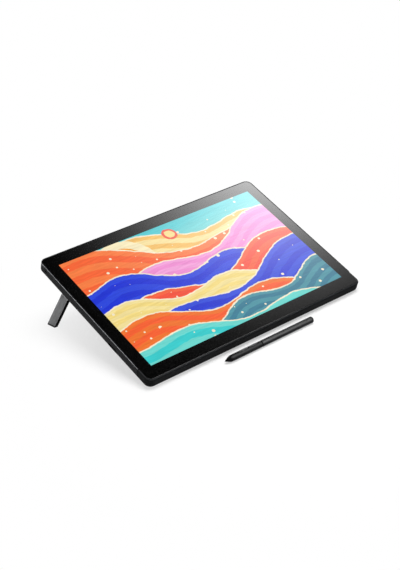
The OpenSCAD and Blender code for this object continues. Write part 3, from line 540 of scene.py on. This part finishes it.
picture = {
    "unit": 0.1,               # pattern unit in metres
    "sky": ("49c8cf", "a9e6dc"),
    "cream": "fbf0d2",
    "warp": 0.018,             # how far the brush strays from a clean outline
    "grain": 0.16,             # how much the dry brush shows
    "edge": 0.008,             # softness of every outline
    "bandEdge": 0.15,          # softness of the bands, as a share of their swing
    "bandShare": 0.7,          # how strongly a band's colour covers
    "crest": (0.022, 0.03),    # where the light crest ends, below a wave's edge
    "discRing": 0.3,           # width of a disc's ring, as a share of its radius
    # each wave covers what lies in front of its edge:
    # offset, lean, swing, length, phase, colour, band colour, band pitch
    "waves": [
        (0.88, 8, 0.10, 1.9, 0.4, "f8e2a0", "f3b13e", 0.21),
        (0.66, 13, 0.16, 2.6, 1.9, "f9693a", "fb8a4c", 0.26),
        (0.40, -8, 0.15, 2.1, 0.2, "ef8fd2", "f4a9dd", 0.17),
        (0.18, 10, 0.13, 1.7, 2.6, "2438d6", "3350e2", 0.23),
        (-0.06, -6, 0.17, 2.3, 1.2, "f4523a", "f86a40", 0.19),
        (-0.22, 7, 0.10, 1.6, 3.6, "f5dc86", "f7e6a6", 0.15),
        (-0.38, -9, 0.15, 2.4, 0.9, "2a3cd4", "3c58e0", 0.22),
        (-0.58, 8, 0.12, 1.9, 2.2, "fa6536", "f07f34", 0.20),
        (-0.78, -6, 0.10, 1.5, 4.4, "3f8098", "57a0ac", 0.16),
        (-0.92, 7, 0.09, 1.8, 1.1, "3fd0d0", "7fe0d4", 0.24),
    ],
    # discs: x, y, radius, colour, inner colour
    "discs": [
        (-0.86, 0.60, 0.50, "fbeec2", "f2a12f"),
        (1.12, 0.28, 0.27, "f2a12f", "ff7a44"),
        (0.38, -0.60, 0.17, "f4a5da", "fbf0d2"),
        (-1.32, -0.50, 0.15, "3fd0d0", "b7efe2"),
        (0.05, 0.86, 0.12, "ef5a45", "f8df92"),
        (1.42, -0.78, 0.20, "f8df92", "f85f42"),
    ],
    "dots": {"scale": 5.0, "radius": 0.13},
}


def makeWaveGroup():
    graph, given, out = newGroup(
        "paintedWave",
        [("Vector", "Vector", None), ("Under", "Color", None), ("Colour", "Color", None),
         ("Band", "Color", None), ("Crest", "Color", None), ("Offset", "Float", 0.0), ("Lean", "Float", 0.0),
         ("Swing", "Float", 0.1), ("Length", "Float", 2.0), ("Phase", "Float", 0.0), ("Pitch", "Float", 0.2),
         ("Soft", "Float", 0.008)],
        [("Colour", "Color")])
    leaning = graph.add("ShaderNodeVectorRotate", {"Vector": given["Vector"], "Angle": given["Lean"]},
                        rotation_type="Z_AXIS")
    parts = graph.add("ShaderNodeSeparateXYZ", {0: leaning.outputs[0]}).outputs
    angle = graph.math("DIVIDE", graph.math("MULTIPLY", parts["X"], math.tau), given["Length"])
    ripple = graph.math("SINE", graph.math("ADD", angle, given["Phase"]))
    swing = graph.math("MULTIPLY", ripple, given["Swing"])
    below = graph.math("SUBTRACT", given["Offset"], graph.math("ADD", parts["Y"], swing))
    step = graph.math("DIVIDE", graph.math("MULTIPLY", below, math.tau), given["Pitch"])
    bandEdge = picture["bandEdge"]
    band = graph.span(graph.math("SINE", step), -bandEdge, bandEdge, 0.0, picture["bandShare"])
    crest = graph.span(below, *picture["crest"], 1.0, 0.0)
    colour = graph.blend(band, given["Colour"], given["Band"])
    colour = graph.blend(crest, colour, given["Crest"])
    mask = graph.span(below, 0.0, given["Soft"], 0.0, 1.0)
    graph.feed(out["Colour"], graph.blend(mask, given["Under"], colour))
    return graph.tree


def makeDiscGroup():
    graph, given, out = newGroup(
        "paintedDisc",
        [("Vector", "Vector", None), ("Under", "Color", None), ("Colour", "Color", None),
         ("Inner", "Color", None), ("Middle", "Vector", (0.0, 0.0, 0.0)), ("Radius", "Float", 0.2),
         ("Soft", "Float", 0.008)],
        [("Colour", "Color")])
    away = graph.vector("DISTANCE", given["Vector"], given["Middle"])
    inside = graph.math("SUBTRACT", given["Radius"], away)
    core = graph.math("SUBTRACT", inside, graph.math("MULTIPLY", given["Radius"], picture["discRing"]))
    mask = graph.span(inside, 0.0, given["Soft"], 0.0, 1.0)
    coreMask = graph.span(core, 0.0, given["Soft"], 0.0, 1.0)
    colour = graph.blend(coreMask, given["Colour"], given["Inner"])
    graph.feed(out["Colour"], graph.blend(mask, given["Under"], colour))
    return graph.tree


def glassFinish():
    finish, graph, skin = newFinish("etchedGlass")
    coords = graph.add("ShaderNodeTexCoord").outputs["Object"]
    flat = graph.add("ShaderNodeMapping", {"Vector": coords}, vector_type="TEXTURE")
    flat.inputs["Location"].default_value = onTablet(0, pictureAlong, glassTop).translation
    flat.inputs["Rotation"].default_value = (tilt, 0, 0)
    flat.inputs["Scale"].default_value = (picture["unit"],) * 3
    place = graph.vector("MULTIPLY", flat.outputs[0], (1, 1, 0))
    parts = graph.add("ShaderNodeSeparateXYZ", {0: place}).outputs

    # the brush strays a little from every outline
    stray = graph.add("ShaderNodeTexNoise", {"Vector": place, "Scale": 5.0, "Detail": 4.0, "Roughness": 0.65})
    shift = graph.vector("SUBTRACT", stray.outputs["Color"], (0.5, 0.5, 0.5))
    shift = graph.vector("MULTIPLY", shift, (4 * picture["warp"],) * 2 + (0,))
    loose = graph.vector("ADD", place, shift)

    waveGroup, discGroup = makeWaveGroup(), makeDiscGroup()
    cream = srgb(picture["cream"])
    high = graph.span(parts["Y"], 0.2, 1.0, 0.0, 1.0)
    colour = graph.blend(high, srgb(picture["sky"][1]), srgb(picture["sky"][0]))
    for index, wave in enumerate(picture["waves"]):
        offset, lean, swing, length, phase, shade, band, pitch = wave
        colour = graph.group(waveGroup, Vector=loose, Under=colour, Colour=srgb(shade), Band=srgb(band),
                             Crest=cream, Offset=offset, Lean=math.radians(lean), Swing=swing, Length=length,
                             Phase=phase, Pitch=pitch, Soft=picture["edge"])["Colour"]
        if index < len(picture["discs"]):
            x, y, radius, shade, inner = picture["discs"][index]
            colour = graph.group(discGroup, Vector=loose, Under=colour, Colour=srgb(shade), Inner=srgb(inner),
                                 Middle=(x, y, 0), Radius=radius, Soft=picture["edge"])["Colour"]

    # spatter of cream drops in several sizes
    dots = picture["dots"]
    cells = graph.add("ShaderNodeTexVoronoi", {"Vector": place, "Scale": dots["scale"]},
                      voronoi_dimensions="2D")
    luck = graph.add("ShaderNodeSeparateColor", {0: cells.outputs["Color"]}).outputs
    size = graph.math("MULTIPLY", graph.span(luck[0], 0.55, 1.0, 0.0, 1.0), dots["radius"])
    colour = graph.blend(graph.math("LESS_THAN", cells.outputs["Distance"], size), colour, cream)

    # dry brush: long streaks that change the tone
    strokes = graph.vector("MULTIPLY", loose, (3, 34, 1))
    brush = graph.add("ShaderNodeTexNoise", {"Vector": strokes, "Scale": 1.0, "Detail": 5.0})
    tone = graph.span(brush.outputs["Fac"], 0.25, 0.75, 1 - picture["grain"], 1 + picture["grain"] / 2)
    painted = graph.add("ShaderNodeVectorMath", {0: colour, "Scale": tone}, operation="SCALE").outputs[0]

    halfWide, halfDeep = (size / 2 / picture["unit"] for size in pictureSize)
    across = graph.math("LESS_THAN", graph.math("ABSOLUTE", parts["X"]), halfWide)
    along = graph.math("LESS_THAN", graph.math("ABSOLUTE", parts["Y"]), halfDeep)
    lit = graph.math("MULTIPLY", across, along)
    graph.feed(skin["Emission Color"], graph.blend(lit, (0, 0, 0, 1), painted))
    skin["Emission Strength"].default_value = 1.0

    etch = graph.group(grainGroup, Vector=coords, Grain=4000.0, Patches=12.0)
    graph.feed(skin["Base Color"], graph.blend(etch["Tint"], srgb("010101"), srgb("020202")))
    graph.feed(skin["Roughness"], graph.span(etch["Marks"], 0.0, 1.0, 0.11, 0.13))
    bump = graph.add("ShaderNodeBump", {"Height": etch["Height"], "Distance": 0.000004, "Strength": 0.2})
    graph.feed(skin["Normal"], bump.outputs["Normal"])
    return finish


def makeGlass():
    half = Vector((spread("glass_tape", sideways), spread("glass_tape", slope), 0)) / 2
    thick = glassSheet["thick"]
    pane = newBox("coverGlass", (-half.x, -half.y, -thick), (half.x, half.y, 0))
    roundEdges(pane, glassSheet["cornerRadius"], 16, lambda middle, way: abs(way.z) > 0.9)
    roundEdges(pane, glassSheet["polish"], 2,
               lambda middle, way: middle.z > -thick * 0.1 and abs(way.z) < 0.1)
    bpy.ops.object.mode_set(mode="OBJECT")
    bpy.ops.object.shade_smooth_by_angle(angle=math.radians(15))   # keeps the top face flat
    placeMesh(pane, onTablet(0, glassAlong, glassTop))
    hand(pane, "tablet", glassFinish(), "etched_glass", "cover_glass")
    print("glass and picture made")


# legs: a black core bar, a painted outer plate and a rubber tip, cut level with the desk

leg = {
    "thick": spread("hinge_pin_left", sideways) + 2.3 * mm,
    "wide": 15.5 * mm,
    "corner": 1.0 * mm,
    "plate": 0.4 * mm,
    "plateStart": 6.0 * mm,   # below the hinge pin
    "plateInset": 0.8 * mm,   # black edge in front of it
    "plateGap": (0.05 * mm, 0.15 * mm),   # in front of the plate and above it
    "plateEdge": 0.2 * mm,
    "coreStart": 13.0 * mm,
    "coreEnd": 13.0 * mm,     # above the foot
    "coreCells": 4,
    "coreRib": 1.4 * mm,
    "coreEdge": 2.2 * mm,
    "coreDepth": 2.4 * mm,
    "coreCorner": 0.6 * mm,
    "ribFace": 0.25 * mm,     # how far the lighter rib faces reach down
    "pinFit": 0.06 * mm,
    "tipGap": 0.02 * mm,
    "extra": 12 * mm,         # cut off again at the desk
}


def legFrame():
    pin = Vector(joints["left_leg_fold"]["pos_m"])
    foot = Vector(mounts["left_leg_rest"]["pos_m"])
    up = (pin - foot).normalized()
    inward = slope.cross(up)
    turn = Matrix((inward, slope, up)).transposed().to_4x4()
    return Matrix.Translation(pin) @ turn, (pin - foot).length


def cutLevel(piece, height, keepAbove):
    makeActive(piece)
    bpy.ops.object.mode_set(mode="EDIT")
    bpy.ops.mesh.select_all(action="SELECT")
    bpy.ops.mesh.bisect(plane_co=(0, 0, height), plane_no=(0, 0, 1), use_fill=True,
                        clear_inner=keepAbove, clear_outer=not keepAbove)
    bpy.ops.object.mode_set(mode="OBJECT")


def makeLegs():
    place, length = legFrame()
    thick, half, bottom = leg["thick"] / 2, leg["wide"] / 2, -length - leg["extra"]
    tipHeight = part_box("leg_tip_left")[1].z

    bar = newBox("legCoreLeft", (-thick, -half, bottom), (thick, half, thick))
    roundEdges(bar, thick * 0.99, 10, lambda middle, way: middle.z > thick * 0.9 and abs(way.y) > 0.9)
    roundEdges(bar, leg["corner"], 3, lambda middle, way: abs(way.z) > 0.9 and middle.x > thick * 0.9)
    bpy.ops.object.mode_set(mode="OBJECT")
    seat = newBox("plateSeat", (-2 * thick, leg["plateInset"] - half, 2 * bottom),
                  (leg["plate"] - thick, 2 * half, -leg["plateStart"]))
    bpy.ops.object.mode_set(mode="OBJECT")
    carve(bar, seat, "DIFFERENCE")

    cellRun = (length - leg["coreStart"] - leg["coreEnd"]) / leg["coreCells"]
    for index in range(leg["coreCells"]):
        top = -leg["coreStart"] - index * cellRun
        low = (thick - leg["coreDepth"], leg["coreEdge"] - half, top - cellRun + leg["coreRib"])
        pocket = newBox("corePocket", low, (thick + 2 * mm, half - leg["coreEdge"], top))
        roundEdges(pocket, leg["coreCorner"], 3, lambda middle, way: abs(way.x) > 0.9)
        bpy.ops.object.mode_set(mode="OBJECT")
        carve(bar, pocket, "DIFFERENCE")
    deselectAll()
    bore = spread("hinge_pin_left", sideways) / 2 + leg["pinFit"]
    bpy.ops.mesh.primitive_cylinder_add(vertices=48, radius=bore, depth=2 * leg["wide"],
                                        rotation=(math.radians(90), 0, 0))
    carve(bar, bpy.context.object, "DIFFERENCE")

    gapFront, gapAbove = leg["plateGap"]
    plate = newBox("legPlateLeft", (-thick, leg["plateInset"] - half + gapFront, bottom),
                   (leg["plate"] - thick, half, -leg["plateStart"] - gapAbove))
    roundEdges(plate, leg["plateEdge"], 3, lambda middle, way: middle.x < -thick * 0.9)
    bpy.ops.object.mode_set(mode="OBJECT")

    tip = newBox("legTipLeft", (-thick, -half, bottom), (thick, half, -length / 2))
    roundEdges(tip, leg["corner"], 4, lambda middle, way: abs(way.z) > 0.9)
    bpy.ops.object.mode_set(mode="OBJECT")

    inward = place.to_3x3().col[0]
    ribFace = place.translation.dot(inward) + thick - leg["ribFace"]
    cores = {}
    for body, flip in (("left", 1), ("right", -1)):
        ribFaces = {"way": (flip * inward.x, inward.y, inward.z), "limit": ribFace,
                    "dark": "1e1f20", "light": "242526", "rough": (0.45, 0.55)}
        cores[body] = moulded("legCore" + body.title(), "070708", "0a0a0b", (0.5, 0.62), grain=2200.0,
                              specular=0.01, zones=[ribFaces])
    paint = moulded("legPaint", "8e8f91", "969799", (0.4, 0.5), grain=3500.0, depth=0.00001)
    rubber = moulded("tipRubber", "0f0f0f", "161616", (0.75, 0.9), grain=1500.0, specular=0.3)
    for piece, finish, slot, node in ((bar, None, "leg_paint", "leg_"), (plate, paint, "leg_paint", None),
                                      (tip, rubber, "foot_rubber", "leg_tip_")):
        placeMesh(piece, place)
        if piece is tip:
            cutLevel(piece, tipHeight - leg["tipGap"], False)
            cutLevel(piece, 0.0, True)
        else:
            cutLevel(piece, tipHeight, True)
        bpy.ops.object.shade_smooth_by_angle(angle=math.radians(35))
        twin = mirrored(piece, piece.name.replace("Left", "Right"))
        for side, body in ((piece, "left"), (twin, "right")):
            replaced = [node + body] if node else []
            hand(side, body + "_leg", finish or cores[body], slot, *replaced)
    print("legs made")


# pen: turned from its nib backwards, lying along the front edge

pen = {
    "noseStart": 1.5 * mm,
    "noseRadius": 1.25 * mm,
    "noseLength": 10 * mm,
    "noseSteps": 16,
    "noseFullness": 1.2,
    "mouth": (0.75 * mm, 8 * mm),        # radius and depth of the hole for the nib
    "nibRadius": 0.65 * mm,
    "nibEnd": 7 * mm,
    "gripEnd": 62.6 * mm,
    "barrelStart": 64.4 * mm,
    "ringRadius": 3.9 * mm,
    "neck": (3.5 * mm, 1 * mm),          # radius of the barrel's neck and how far it goes into the grip
    "capStart": 154.5 * mm,
    "capSpigot": (1.3 * mm, 2 * mm),     # step below the surface and how far it goes into the barrel
    "capGap": 0.1 * mm,
    # rounded end, then a dimple: distances from the pen's end and depths below its surface, in mm
    "capEnd": [(1.0, 0), (0.45, 0.18), (0.12, 0.6), (0, 1.2), (0, 1.9), (0.25, 2.2)],
    "barrelWall": 1.2 * mm,
    "length": 157.5 * mm,
    "bite": 0.15 * mm,                   # small edge rounding at every joint
    "slot": (24.0 * mm, 56.0 * mm, 1.9 * mm, 1.3 * mm),   # start, end, half width, floor above the axis
    "keys": {"front": 24.2 * mm, "rear": 40.4 * mm},      # where each switch starts
    "keyLength": 15.4 * mm,
    "keyWidth": 3.4 * mm,
    "keyFloor": 1.95 * mm,
    "keyProud": 0.35 * mm,
    "keyEdge": 0.25 * mm,
    # polished streak that faces the user: its height angle, half its width as an angle, and its coat
    "streak": {"lift": 48, "half": 27, "gripCoat": 0.42, "barrelCoat": 1.0, "rough": 0.3},
}
penRadius = spread("pen_barrel", Vector((0, 0, 1))) / 2
penTip = Vector((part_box("pen_nib")[0].x, boxMiddle("pen_barrel").y, boxMiddle("pen_barrel").z))
# the pen's own frame: its axis is Z, from the nib backwards, and its switches face Y
onPen = Matrix.Translation(penTip) @ Matrix(((0, 0, 1), (1, 0, 0), (0, 1, 0))).to_4x4()


def noseProfile():
    steps = pen["noseSteps"]
    for step in range(steps + 1):
        full = math.sin(math.radians(90) * step / steps) ** pen["noseFullness"]
        yield (pen["noseStart"] + pen["noseLength"] * step / steps,
               pen["noseRadius"] + (penRadius - pen["noseRadius"]) * full)


def makePen():
    bite, radius = pen["bite"], penRadius
    black = {"dark": "0c0c0d", "light": "111112", "rough": (0.4, 0.5)}
    alongPen = penTip.x
    lift, half = math.radians(pen["streak"]["lift"]), math.radians(pen["streak"]["half"])
    facing = Vector((0, -math.cos(lift), math.sin(lift)))
    streak = {"way": facing, "limit": penTip.dot(facing) + radius * math.cos(half),
              "coat": pen["streak"]["gripCoat"], "coatRough": pen["streak"]["rough"]}

    tip = pen["nibRadius"]
    turns = [math.radians(a) for a in range(10, 91, 10)]
    arc = [(tip * (1 - math.cos(a)), tip * math.sin(a)) for a in turns]
    nib = turned("penNib", arc + [(pen["nibEnd"], tip)], 32)
    placeMesh(nib, onPen)
    hand(nib, "nib", moulded("nibPlastic", "101010", "171717", (0.5, 0.6)), "nib_plastic", "pen_nib")

    mouth, mouthDepth = pen["mouth"]
    front = pen["noseStart"]
    grip = turned("penGrip", [(mouthDepth, mouth), (front, mouth), *noseProfile(),
                              (pen["gripEnd"] - bite, radius), (pen["gripEnd"], radius - bite),
                              (pen["gripEnd"], pen["ringRadius"] - bite)])
    slotStart, slotEnd, slotHalf, slotFloor = pen["slot"]
    cutter = newBox("slotCutter", (-slotHalf, slotFloor, slotStart), (slotHalf, 2 * radius, slotEnd))
    roundEdges(cutter, slotHalf * 0.9, 8, lambda middle, way: abs(way.y) > 0.9)
    bpy.ops.object.mode_set(mode="OBJECT")
    carve(grip, cutter, "DIFFERENCE")
    placeMesh(grip, onPen)
    bpy.ops.object.shade_smooth_by_angle(angle=math.radians(35))
    nose = {"way": -sideways, "limit": -(alongPen + front + pen["noseLength"]), **black}
    softTouch = moulded("softTouch", "1c1d1e", "202122", (0.5, 0.6), grain=3500.0, specular=0.05,
                        zones=[nose, streak])
    hand(grip, "pen", softTouch, "pen_soft_touch", "pen_grip")

    keyFinish = moulded("penKeys", "2b2c2e", "313234", (0.4, 0.5), grain=3000.0)
    for end, start in pen["keys"].items():
        half = pen["keyWidth"] / 2
        key = newBox("penSwitch" + end.title(), (-half, pen["keyFloor"], start),
                     (half, 2 * radius, start + pen["keyLength"]))
        roundEdges(key, half * 0.9, 8, lambda middle, way: abs(way.y) > 0.9)
        bpy.ops.object.mode_set(mode="OBJECT")
        deselectAll()
        bpy.ops.mesh.primitive_cylinder_add(vertices=128, radius=radius + pen["keyProud"],
                                            depth=4 * pen["length"])
        carve(key, bpy.context.object, "INTERSECT")
        soften(key, pen["keyEdge"], 3, 40)
        placeMesh(key, onPen)
        hand(key, "pen_" + end + "_key", keyFinish, "pen_keys", "pen_switch_" + end)

    neck, neckDepth = pen["neck"]
    start, stop = pen["barrelStart"], pen["capStart"]
    barrel = turned("penBarrel", [(pen["gripEnd"] - neckDepth, neck), (start, neck),
                                  (start, radius - bite), (start + bite, radius),
                                  (stop - bite, radius), (stop, radius - bite),
                                  (stop, radius - pen["barrelWall"])])
    placeMesh(barrel, onPen)
    ring = {"way": -sideways, "limit": -(alongPen + start - 0.02 * mm), **black}
    shell = moulded("penShell", "202123", "242527", (0.36, 0.44), grain=4000.0, depth=0.00001, specular=0.05,
                    zones=[ring, {**streak, "coat": pen["streak"]["barrelCoat"]}])
    hand(barrel, "pen", shell, "pen_shell", "pen_barrel")

    step, stepDepth = pen["capSpigot"]
    edge = stop + pen["capGap"]
    rounding = [(pen["length"] - away * mm, radius - deep * mm) for away, deep in pen["capEnd"]]
    cap = turned("penEndCap", [(stop - stepDepth, radius - step), (edge, radius - step),
                               (edge, radius - bite), (edge + bite, radius), *rounding])
    placeMesh(cap, onPen)
    capFinish = moulded("penCap", "0f0f10", "131314", (0.4, 0.5), specular=0.2)
    hand(cap, "pen", capFinish, "pen_keys", "pen_end_cap")
    print("pen made")


# power button on the back wall, a round-ended bar with a soft edge

powerKey = {"long": 14 * mm, "high": 3.2 * mm, "deep": 3.4 * mm, "edge": 0.45 * mm}


def makePowerKey():
    half, rise = powerKey["long"] / 2, powerKey["high"] / 2
    key = newBox("powerButton", (-half, -powerKey["deep"], -rise), (half, 0, rise))
    roundEdges(key, rise * 0.98, 10, lambda middle, way: abs(way.y) > 0.9)
    roundEdges(key, powerKey["edge"], 4, lambda middle, way: middle.y > -0.01 * mm and abs(way.y) < 0.1)
    bpy.ops.object.mode_set(mode="OBJECT")
    bpy.ops.object.shade_smooth_by_angle(angle=math.radians(35))
    placeMesh(key, onTablet(boxMiddle("power_button").x, reach("power_button", slope)[1],
                            sum(reach("power_button", glassNormal)) / 2))
    finish = moulded("keyPlastic", "1c1d1e", "222324", (0.38, 0.48))
    hand(key, "power_key", finish, "key_plastic", "power_button")
    print("power button made")


# dark strips that close the seams between the front trim and the side walls, painted shade standing in for the
# shadow in the gaps

seamStrip = {"gap": 0.65 * mm, "deep": 1.7 * mm, "back": 0.2 * mm, "drop": 0.5 * mm, "corner": 0.8 * mm}


def makeSeamStrips():
    low, high = reach("front_trim", glassNormal)
    trimEnd = reach("front_trim", slope)[1]
    wall = reach("front_trim", sideways)[0] + seamStrip["back"]
    tall = high - low - seamStrip["drop"]
    strip = newBox("seamStripLeft", (0, 0, 0), (seamStrip["deep"], seamStrip["gap"], tall))
    roundEdges(strip, seamStrip["corner"], 4,
               lambda middle, way: middle.z > tall * 0.9 and middle.x < 0.1 * mm)
    bpy.ops.object.mode_set(mode="OBJECT")
    placeMesh(strip, onTablet(wall, trimEnd, low))
    # painted shade: near-black strips where the seam gap would be in shadow
    finish = moulded("paintedShadeSeam", "070707", "0a0a0a", (0.8, 0.9), grain=1500.0, specular=0.05)
    for side in (strip, mirrored(strip, "seamStripRight")):
        hand(side, "tablet", finish, "foot_rubber")
    print("seam strips made")


# black sleeves that line the connector bay and the lock slot in the left wall, painted shade that darkens these
# recesses

sleeves = {
    "baySleeve": {"mount": "usb_socket", "wall": 0.15 * mm, "inset": 1.3 * mm, "long": 18.5 * mm,
                  "high": 5.8 * mm, "deep": 5.6 * mm, "corner": 0.6 * mm},
    "lockSleeve": {"mount": "lock_slot", "wall": 0.1 * mm, "inset": 0.1 * mm, "long": 6 * mm,
                   "high": 2.5 * mm, "deep": 2.6 * mm, "corner": 0.3 * mm},
}


def makeSleeves():
    # painted shade: near-black liners inside the recesses
    finish = moulded("paintedShadeSleeve", "050505", "080808", (0.8, 0.9), grain=1500.0, specular=0.02)
    for name, size in sleeves.items():
        half, rise = size["long"] / 2, size["high"] / 2
        sleeve = newBox(name, (0, -half, -rise), (size["deep"], half, rise))
        roundEdges(sleeve, size["corner"], 4, lambda middle, way: abs(way.x) > 0.9)
        mesh = bmesh.from_edit_mesh(sleeve.data)
        for part in (*mesh.verts, *mesh.edges, *mesh.faces):
            part.select = False
        for face in mesh.faces:
            face.select_set(abs(face.normal.x) > 0.9)
        bmesh.update_edit_mesh(sleeve.data)
        bpy.ops.mesh.delete(type="ONLY_FACE")
        bpy.ops.object.mode_set(mode="OBJECT")
        skin = sleeve.modifiers.new("skin", "SOLIDIFY")
        skin.thickness = size["wall"]
        skin.offset = -1
        bpy.ops.object.modifier_apply(modifier=skin.name)
        bpy.ops.object.shade_smooth_by_angle(angle=math.radians(35))
        middle = Vector(mounts[size["mount"]]["pos_m"])
        wall = reach("housing_frame", sideways)[0] + size["inset"]
        placeMesh(sleeve, onTablet(wall, middle.dot(slope), middle.dot(glassNormal)))
        hand(sleeve, "tablet", finish, "foot_rubber")
    print("bay and slot lined")


# rear pads: round rubber buttons with a rounded rim and a ring groove

pad = {
    "radius": 6.5 * mm,
    "rim": 0.8 * mm,
    "groove": (3.2 * mm, 4.0 * mm, 0.35 * mm),   # inner and outer radius, and depth
    "grooveSlant": 0.15 * mm,
    "dimple": (0.4 * mm, 1.2 * mm),              # its floor's radius and its edge's
}


def makePads():
    radius, rim = pad["radius"], pad["rim"]
    inner, outer, deep = pad["groove"]
    low, high = reach("rear_pads", glassNormal)
    tall = high - low
    arc = [(rim * (1 - math.sin(math.radians(a))), radius - rim * (1 - math.cos(math.radians(a))))
           for a in (90, 70, 50, 30, 10, 0)]
    slant = pad["grooveSlant"]
    dimpleFloor, dimpleEdge = pad["dimple"]
    left = turned("rearPads", [(deep * 0.4, dimpleFloor), (0, dimpleEdge), (0, inner), (deep, inner + slant),
                               (deep, outer - slant), (0, outer), *arc, (tall, radius)])
    along = sum(reach("rear_pads", slope)) / 2
    side = reach("rear_pads", sideways)[1] - radius
    placeMesh(left, onTablet(-side, along, low))
    right = mirrored(left, "rearPadRight")
    makeActive(left)
    right.select_set(True)
    bpy.ops.object.join()
    hand(left, "tablet", moulded("padRubber", "131313", "1a1a1a", (0.75, 0.9), grain=1500.0, specular=0.3),
         "foot_rubber", "rear_pads")
    print("rear pads made")


# finishes of the CAD pieces, by node

bands = {
    "rim": (0.4 * mm, 0.05 * mm),   # painted highlight: light grey chamfer band of the frame, from and to below its top
    "lip": 1.2 * mm,                # painted highlight: lighter top edge of the front trim
    "seam": 0.9 * mm,               # painted shade: dark ends of the front trim, where the seam gap lies in shadow
}


def dressNodes():
    rimTop = reach("housing_frame", glassNormal)[1]
    rimLow, rimHigh = bands["rim"]
    # painted highlight: a light grey band on the frame's top chamfer stands in for the shine along the rim
    rim = {"way": glassNormal, "limit": rimTop - rimLow, "top": rimTop - rimHigh,
           "dark": "acaeb2", "light": "b4b6b9", "rough": (0.4, 0.5)}
    # painted highlight: a lighter band along the trim's top edge
    lip = {"way": glassNormal, "limit": rimTop - bands["lip"],
           "dark": "2a2b2d", "light": "303133", "rough": (0.45, 0.55)}
    # painted shade: the trim's ends near the seams are near black
    seam = {"way": slope, "limit": reach("front_trim", slope)[1] - bands["seam"],
            "dark": "060606", "light": "080808", "rough": (0.6, 0.7)}
    housing = moulded("housingPlastic", "141517", "18191b", (0.5, 0.6), specular=0.06, zones=[rim])
    trim = moulded("trimPlastic", "111213", "151617", (0.5, 0.6), specular=0.03, zones=[lip, seam])
    cover = moulded("coverPlastic", "191a1b", "1f2021", (0.58, 0.7), grain=1800.0, strength=0.5,
                    specular=0.35)
    well = moulded("wellPlastic", "141516", "1a1b1c", (0.55, 0.68))
    rubber = moulded("footRubber", "131313", "1a1a1a", (0.75, 0.9), grain=1500.0, specular=0.3)
    tape = moulded("blackTape", "0f0f0f", "141414", (0.8, 0.9))
    clear = moulded("clearSheet", "dfe8ea", "e6eef0", (0.1, 0.2), depth=0.000002)
    film = moulded("whiteFilm", "ecece6", "f4f4ef", (0.35, 0.5), depth=0.000005)
    board = moulded("circuitBoard", "163d29", "235c3e", (0.35, 0.5), grain=600.0, patches=220.0)
    ribbon = moulded("ribbonFilm", "a56f24", "bd8431", (0.3, 0.4), grain=900.0, patches=120.0)
    lampStrip = moulded("lampStrip", "e8dfae", "f6efc6", (0.3, 0.5))
    panel = moulded("panelGlass", "15161a", "1c1d22", (0.08, 0.14), depth=0.000002)
    ferrite = moulded("ferrite", "3a3a3d", "444448", (0.5, 0.7))
    copper = metal("copperWire", "8f4a22", "b5652c", (0.3, 0.45), (3500.0, 60.0, 60.0))
    plated = metal("platedSteel", "9a9da1", "c0c3c7", (0.22, 0.38))
    sheet = metal("sheetAluminium", "a6a9ac", "bfc2c5", (0.32, 0.45))
    blackSteel = metal("blackSteel", "2b2b2c", "404042", (0.35, 0.5), (900.0, 900.0, 900.0))
    spring = metal("springSteel", "8f9296", "aeb1b5", (0.2, 0.32))
    dress = {
        "glass_tape": tape, "bonding_layer": clear, "lcd_panel": panel, "diffuser_films": film,
        "light_guide": clear, "reflector_sheet": film, "led_strip": lampStrip, "backlight_tray": plated,
        "pen_sensor_board": board, "shield_plate": sheet, "chassis_plate": sheet, "housing_frame": housing,
        "front_trim": trim, "back_cover": cover, "main_board": board, "usb_socket": plated,
        "display_ribbon": ribbon, "sensor_ribbon": ribbon, "power_switch": plated, "button_board": board,
        "lock_plate": blackSteel, "front_foot": rubber, "cover_screws": blackSteel,
        "chassis_screws": blackSteel, "board_screws": blackSteel, "well_screws": blackSteel,
        "leg_well_left": well, "leg_well_right": well,
        "hinge_pin_left": spring, "hinge_pin_right": spring, "friction_spring_left": spring,
        "friction_spring_right": spring, "pen_ferrite_core": ferrite, "pen_coil": copper,
        "pen_force_sensor": plated, "pen_circuit_board": board, "pen_switch_contacts": plated,
    }
    for node, finish in dress.items():
        nodes[node].data.materials.clear()
        nodes[node].data.materials.append(finish)
    print("finishes put on", len(dress), "nodes")


makeCamera()
makeFloor()
makeLamps()
makeCard()
makeGlass()
makeLegs()
makePen()
makePowerKey()
makeSeamStrips()
makeSleeves()
makePads()
dressNodes()
